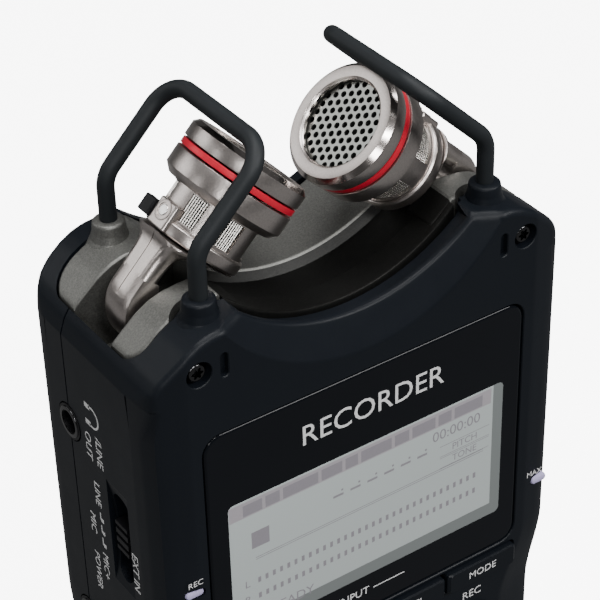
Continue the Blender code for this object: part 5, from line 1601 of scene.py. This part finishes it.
class RECORDER_OT_saddle(bpy.types.Operator):
    """Cast saddle with its dish, its four lobes and the slots between them"""
    bl_idname = "recorder.saddle"
    bl_label = "Saddle"

    def execute(self, context):
        saddle = put("saddle", self.dish(), "saddle", HOUSING, ("mic_base",), None,
                     30.0)
        for side in (-1.0, 1.0):
            for front in (True, False):
                unite(saddle, self.lobe(side, front))
            unite(saddle, self.back_ledge(side))
            low, high = sorted((side * 17.0, side * 32.4))
            unite(saddle, block((low, -4.5, DECK_BASE), (high, 7.0, DECK_Z + 1.8)))
        for name, side in SIDES:
            rod = mm_box("guard_rod_" + name)
            x = side * (max(abs(rod[0].x), abs(rod[1].x)) - ROD_RADIUS)
            carve(saddle, upright_hole(x, rod[0].y + ROD_RADIUS, 4.1, DECK_Z - 1.0,
                                       DECK_Z + 30.0))
            low, high = sorted((side * (HALF - 17.7), side * (HALF + 2.0)))
            carve(saddle, block((low, SLOT_FRONT, DECK_Z + 1.8),
                                (high, SLOT_BACK, SHOULDER_Z + 20.0)))
        resharpen(saddle, 30.0)
        weigh_normals(saddle)
        return {"FINISHED"}

    def dish(self):
        """Saddle floor: a rim, a crease, a falling floor and the step up to the back."""
        front, back = FRONT_Y + 6.3, BACK_Y - 2.4
        drops = ((front, 0.45), (front + 0.15, 0.12), (front + 0.45, 0.0),
                 (FRONT_Y + 11.35, 0.42), (FRONT_Y + 11.5, 0.62), (FRONT_Y + 14.5, 1.3),
                 (FRONT_Y + 17.4, 1.5), (FRONT_Y + 17.7, 1.42), (FRONT_Y + 18.9, 0.12),
                 (FRONT_Y + 19.2, 0.0), (back - 0.4, 0.0), (back - 0.1, 0.12), (back, 0.4))
        rows = []
        for y, drop in drops:
            radius = DISH[1] + drop
            spread = math.degrees(math.asin(DISH_HALF / radius))
            points = arc((0.0, DISH[0]), radius, -90.0 - spread, -90.0 + spread, 64)
            points += [(DISH_HALF, DECK_BASE), (-DISH_HALF, DECK_BASE)]
            rows.append([(x, y, z) for x, z in points])
        return loft(rows)

    def lobe(self, side, front):
        """One lobe, lofted along X with eased upper edges and a round outer corner."""
        outer, corner = LOBE_OUTER, LOBE_CORNER if front else REAR_CORNER
        low, high = (LOBE_FRONT_Y, SLOT_FRONT) if front else (SLOT_BACK, LOBE_BACK_Y)
        stations = [16.0, 18.0, VALLEY_HALF]
        stations += [VALLEY_HALF + (outer - 0.3 - VALLEY_HALF) * i / 26.0 for i in range(1, 27)]
        stations += [outer - 0.1, outer]
        rows = []
        for x in stations:
            over = max(x - (outer - corner), 0.0)
            draw = corner - math.sqrt(max(corner ** 2 - over ** 2, 0.0))
            y0 = low + draw if front else low
            y1 = high if front else high - draw
            end = 0.25 * smooth(x, outer - 0.35, outer)
            top = (top_z(x) if x > VALLEY_HALF else top_z(VALLEY_HALF)) - end
            if x <= VALLEY_HALF:
                top = circle_z(DISH, x) + 0.02
            ease = min(0.5, (y1 - y0) * 0.3)
            section = [(y0, DECK_BASE), (y0, top - ease)]
            section += [(y0 + ease * (1.0 - math.cos(math.radians(t))),
                         top - ease * (1.0 - math.sin(math.radians(t)))) for t in (30, 60, 90)]
            section += [(y1 - ease * (1.0 - math.cos(math.radians(t))),
                         top - ease * (1.0 - math.sin(math.radians(t)))) for t in (90, 60, 30)]
            section += [(y1, top - ease), (y1, DECK_BASE)]
            rows.append([(side * x, y, z) for y, z in section])
        return loft(rows)

    def back_ledge(self, side):
        """Thin part of the saddle behind each rear lobe."""
        rows = []
        for step in range(17):
            x = 16.0 + (LEDGE_HALF - 16.0) * step / 16.0
            top = top_z(x) if x > VALLEY_HALF else circle_z(DISH, x) + 0.02
            rows.append([(side * x, y, z) for y, z in (
                (BACK_Y - 7.0, DECK_BASE), (BACK_Y - 7.0, top - 0.1), (BACK_Y - 2.7, top - 0.1),
                (BACK_Y - 2.4, top - 0.4), (BACK_Y - 2.4, DECK_BASE))])
        return loft(rows)


CAMERA_ACROSS = -9.716        # camera place from the middle of the lens plate's top edge
CAMERA_ABOVE = 9.55
CAMERA_AWAY = 290.94
FLOOR_GLOW = 7.0
WORLD_LIGHT = 0.06
# each light's place in metres, its two sizes, and its share of the top light's power
LIGHTS = {
    "overhead": ((0.02, 0.02, 0.85), 0.45, 0.40, 1.0),
    "key": ((0.45, -0.55, 0.66), 0.36, 0.28, 1.1),
    "fill": ((-0.14, -0.72, 0.84), 0.28, 0.20, 0.9),
    "edge": ((-0.52, -0.68, 0.50), 0.18, 0.18, 0.35),
    "left_strip": ((-0.75, 0.10, 0.45), 0.12, 0.50, 0.10),
    "back_left": ((-0.55, 0.65, 0.55), 0.50, 0.40, 0.28),
    "table": ((0.0, 0.0, 0.002), 1.6, 1.6, 0.3),
}


class RECORDER_OT_stage(bpy.types.Operator):
    """Pale floor, soft lights and the camera"""
    bl_idname = "recorder.stage"
    bl_label = "Stage"

    def execute(self, context):
        _, _, studio = settings()
        self.floor()
        self.lights(studio)
        self.camera(studio)
        return {"FINISHED"}

    def floor(self):
        """Wide pale floor that glows a little, so that it stays even."""
        bm = bmesh.new()
        bmesh.ops.create_grid(bm, x_segments=1, y_segments=1, size=6.0)
        mesh = bpy.data.meshes.new("floor")
        bm.to_mesh(mesh)
        bm.free()
        tree = Tree("pale_floor")
        grain = tree.noise(3.0, 2.0)
        mesh.materials.append(tree.finish(
            Base_Color=tree.mix(grain, rgba(0.9, 0.9, 0.9), rgba(0.94, 0.94, 0.94)),
            Roughness=0.9, Specular_IOR_Level=0.0, Emission_Color=rgba(1.0, 1.0, 1.0),
            Emission_Strength=FLOOR_GLOW))
        floor = bpy.data.objects.new("floor", mesh)
        floor.visible_glossy = False
        floor.visible_diffuse = False
        bpy.context.collection.objects.link(floor)

    def lights(self, studio):
        """Soft lights round the recorder, none of them seen by the camera."""
        world = bpy.data.worlds.new("studio")
        world.use_nodes = True
        sky = world.node_tree.nodes["Background"]
        sky.inputs["Color"].default_value = rgba(1.0, 1.0, 1.0)
        sky.inputs["Strength"].default_value = WORLD_LIGHT
        bpy.context.scene.world = world
        centre = Vector((0.0, 0.0, 0.12))
        for name, (place, width, tall, share) in LIGHTS.items():
            data = bpy.data.lights.new(name, "AREA")
            data.shape = "RECTANGLE"
            data.size = width
            data.size_y = tall
            data.energy = studio.top_light * share
            light = bpy.data.objects.new(name, data)
            light.visible_camera = False
            light.location = place
            light.rotation_euler = (centre - Vector(place)).to_track_quat("-Z", "Y").to_euler()
            bpy.context.collection.objects.link(light)

    def camera(self, studio):
        """Camera at its angles, placed from the middle of the lens plate's top edge."""
        a, e, roll = studio.azimuth, studio.elevation, studio.roll
        right = Vector((math.cos(a), math.sin(a), 0.0))
        ahead = Vector((-math.sin(a) * math.cos(e), math.cos(a) * math.cos(e), -math.sin(e)))
        up = right.cross(ahead)
        across = right * math.cos(roll) + up * math.sin(roll)
        above = up * math.cos(roll) - right * math.sin(roll)
        aim = Vector((0.0, FRONT_Y, LENS_HIGH.z))
        place = aim + across * CAMERA_ACROSS + above * CAMERA_ABOVE - ahead * CAMERA_AWAY
        data = bpy.data.cameras.new("camera")
        data.lens = studio.lens
        data.sensor_width = 36.0
        data.clip_start = 0.01
        camera = bpy.data.objects.new("camera", data)
        turn = Matrix((across, above, -ahead)).transposed().to_4x4()
        camera.matrix_world = Matrix.Translation(place * MM) @ turn
        bpy.context.collection.objects.link(camera)
        bpy.context.scene.camera = camera


class RECORDER_PT_looks(bpy.types.Panel):
    """Sidebar panel that lists the pieces"""
    bl_idname = "RECORDER_PT_looks"
    bl_label = "Recorder"
    bl_space_type = "VIEW_3D"
    bl_region_type = "UI"
    bl_category = "Recorder"

    def draw(self, context):
        layout = self.layout
        for operator in OPERATORS:
            layout.operator(operator.bl_idname)
        for group in settings():
            for key in group.bl_rna.properties.keys():
                if key not in ("rna_type", "name"):
                    layout.prop(group, key)


OPERATORS = (RECORDER_OT_finishes, RECORDER_OT_housing, RECORDER_OT_saddle,
             RECORDER_OT_microphones, RECORDER_OT_guards,
             RECORDER_OT_display, RECORDER_OT_legends, RECORDER_OT_fittings, RECORDER_OT_stage)
GROUPS = {"recorder_colours": RecorderColours, "recorder_sizes": RecorderSizes,
          "recorder_studio": RecorderStudio}


def register():
    for group in GROUPS.values():
        bpy.utils.register_class(group)
    for name, group in GROUPS.items():
        setattr(bpy.types.Scene, name, bpy.props.PointerProperty(type=group))
    for operator in OPERATORS:
        bpy.utils.register_class(operator)
    bpy.utils.register_class(RECORDER_PT_looks)


def unregister():
    bpy.utils.unregister_class(RECORDER_PT_looks)
    for operator in reversed(OPERATORS):
        bpy.utils.unregister_class(operator)
    for name, group in GROUPS.items():
        delattr(bpy.types.Scene, name)
        bpy.utils.unregister_class(group)


def main():
    """Make every piece in order."""
    register()
    for operator in OPERATORS:
        group, name = operator.bl_idname.split(".")
        getattr(getattr(bpy.ops, group), name)()


if __name__ == "__main__":
    main()
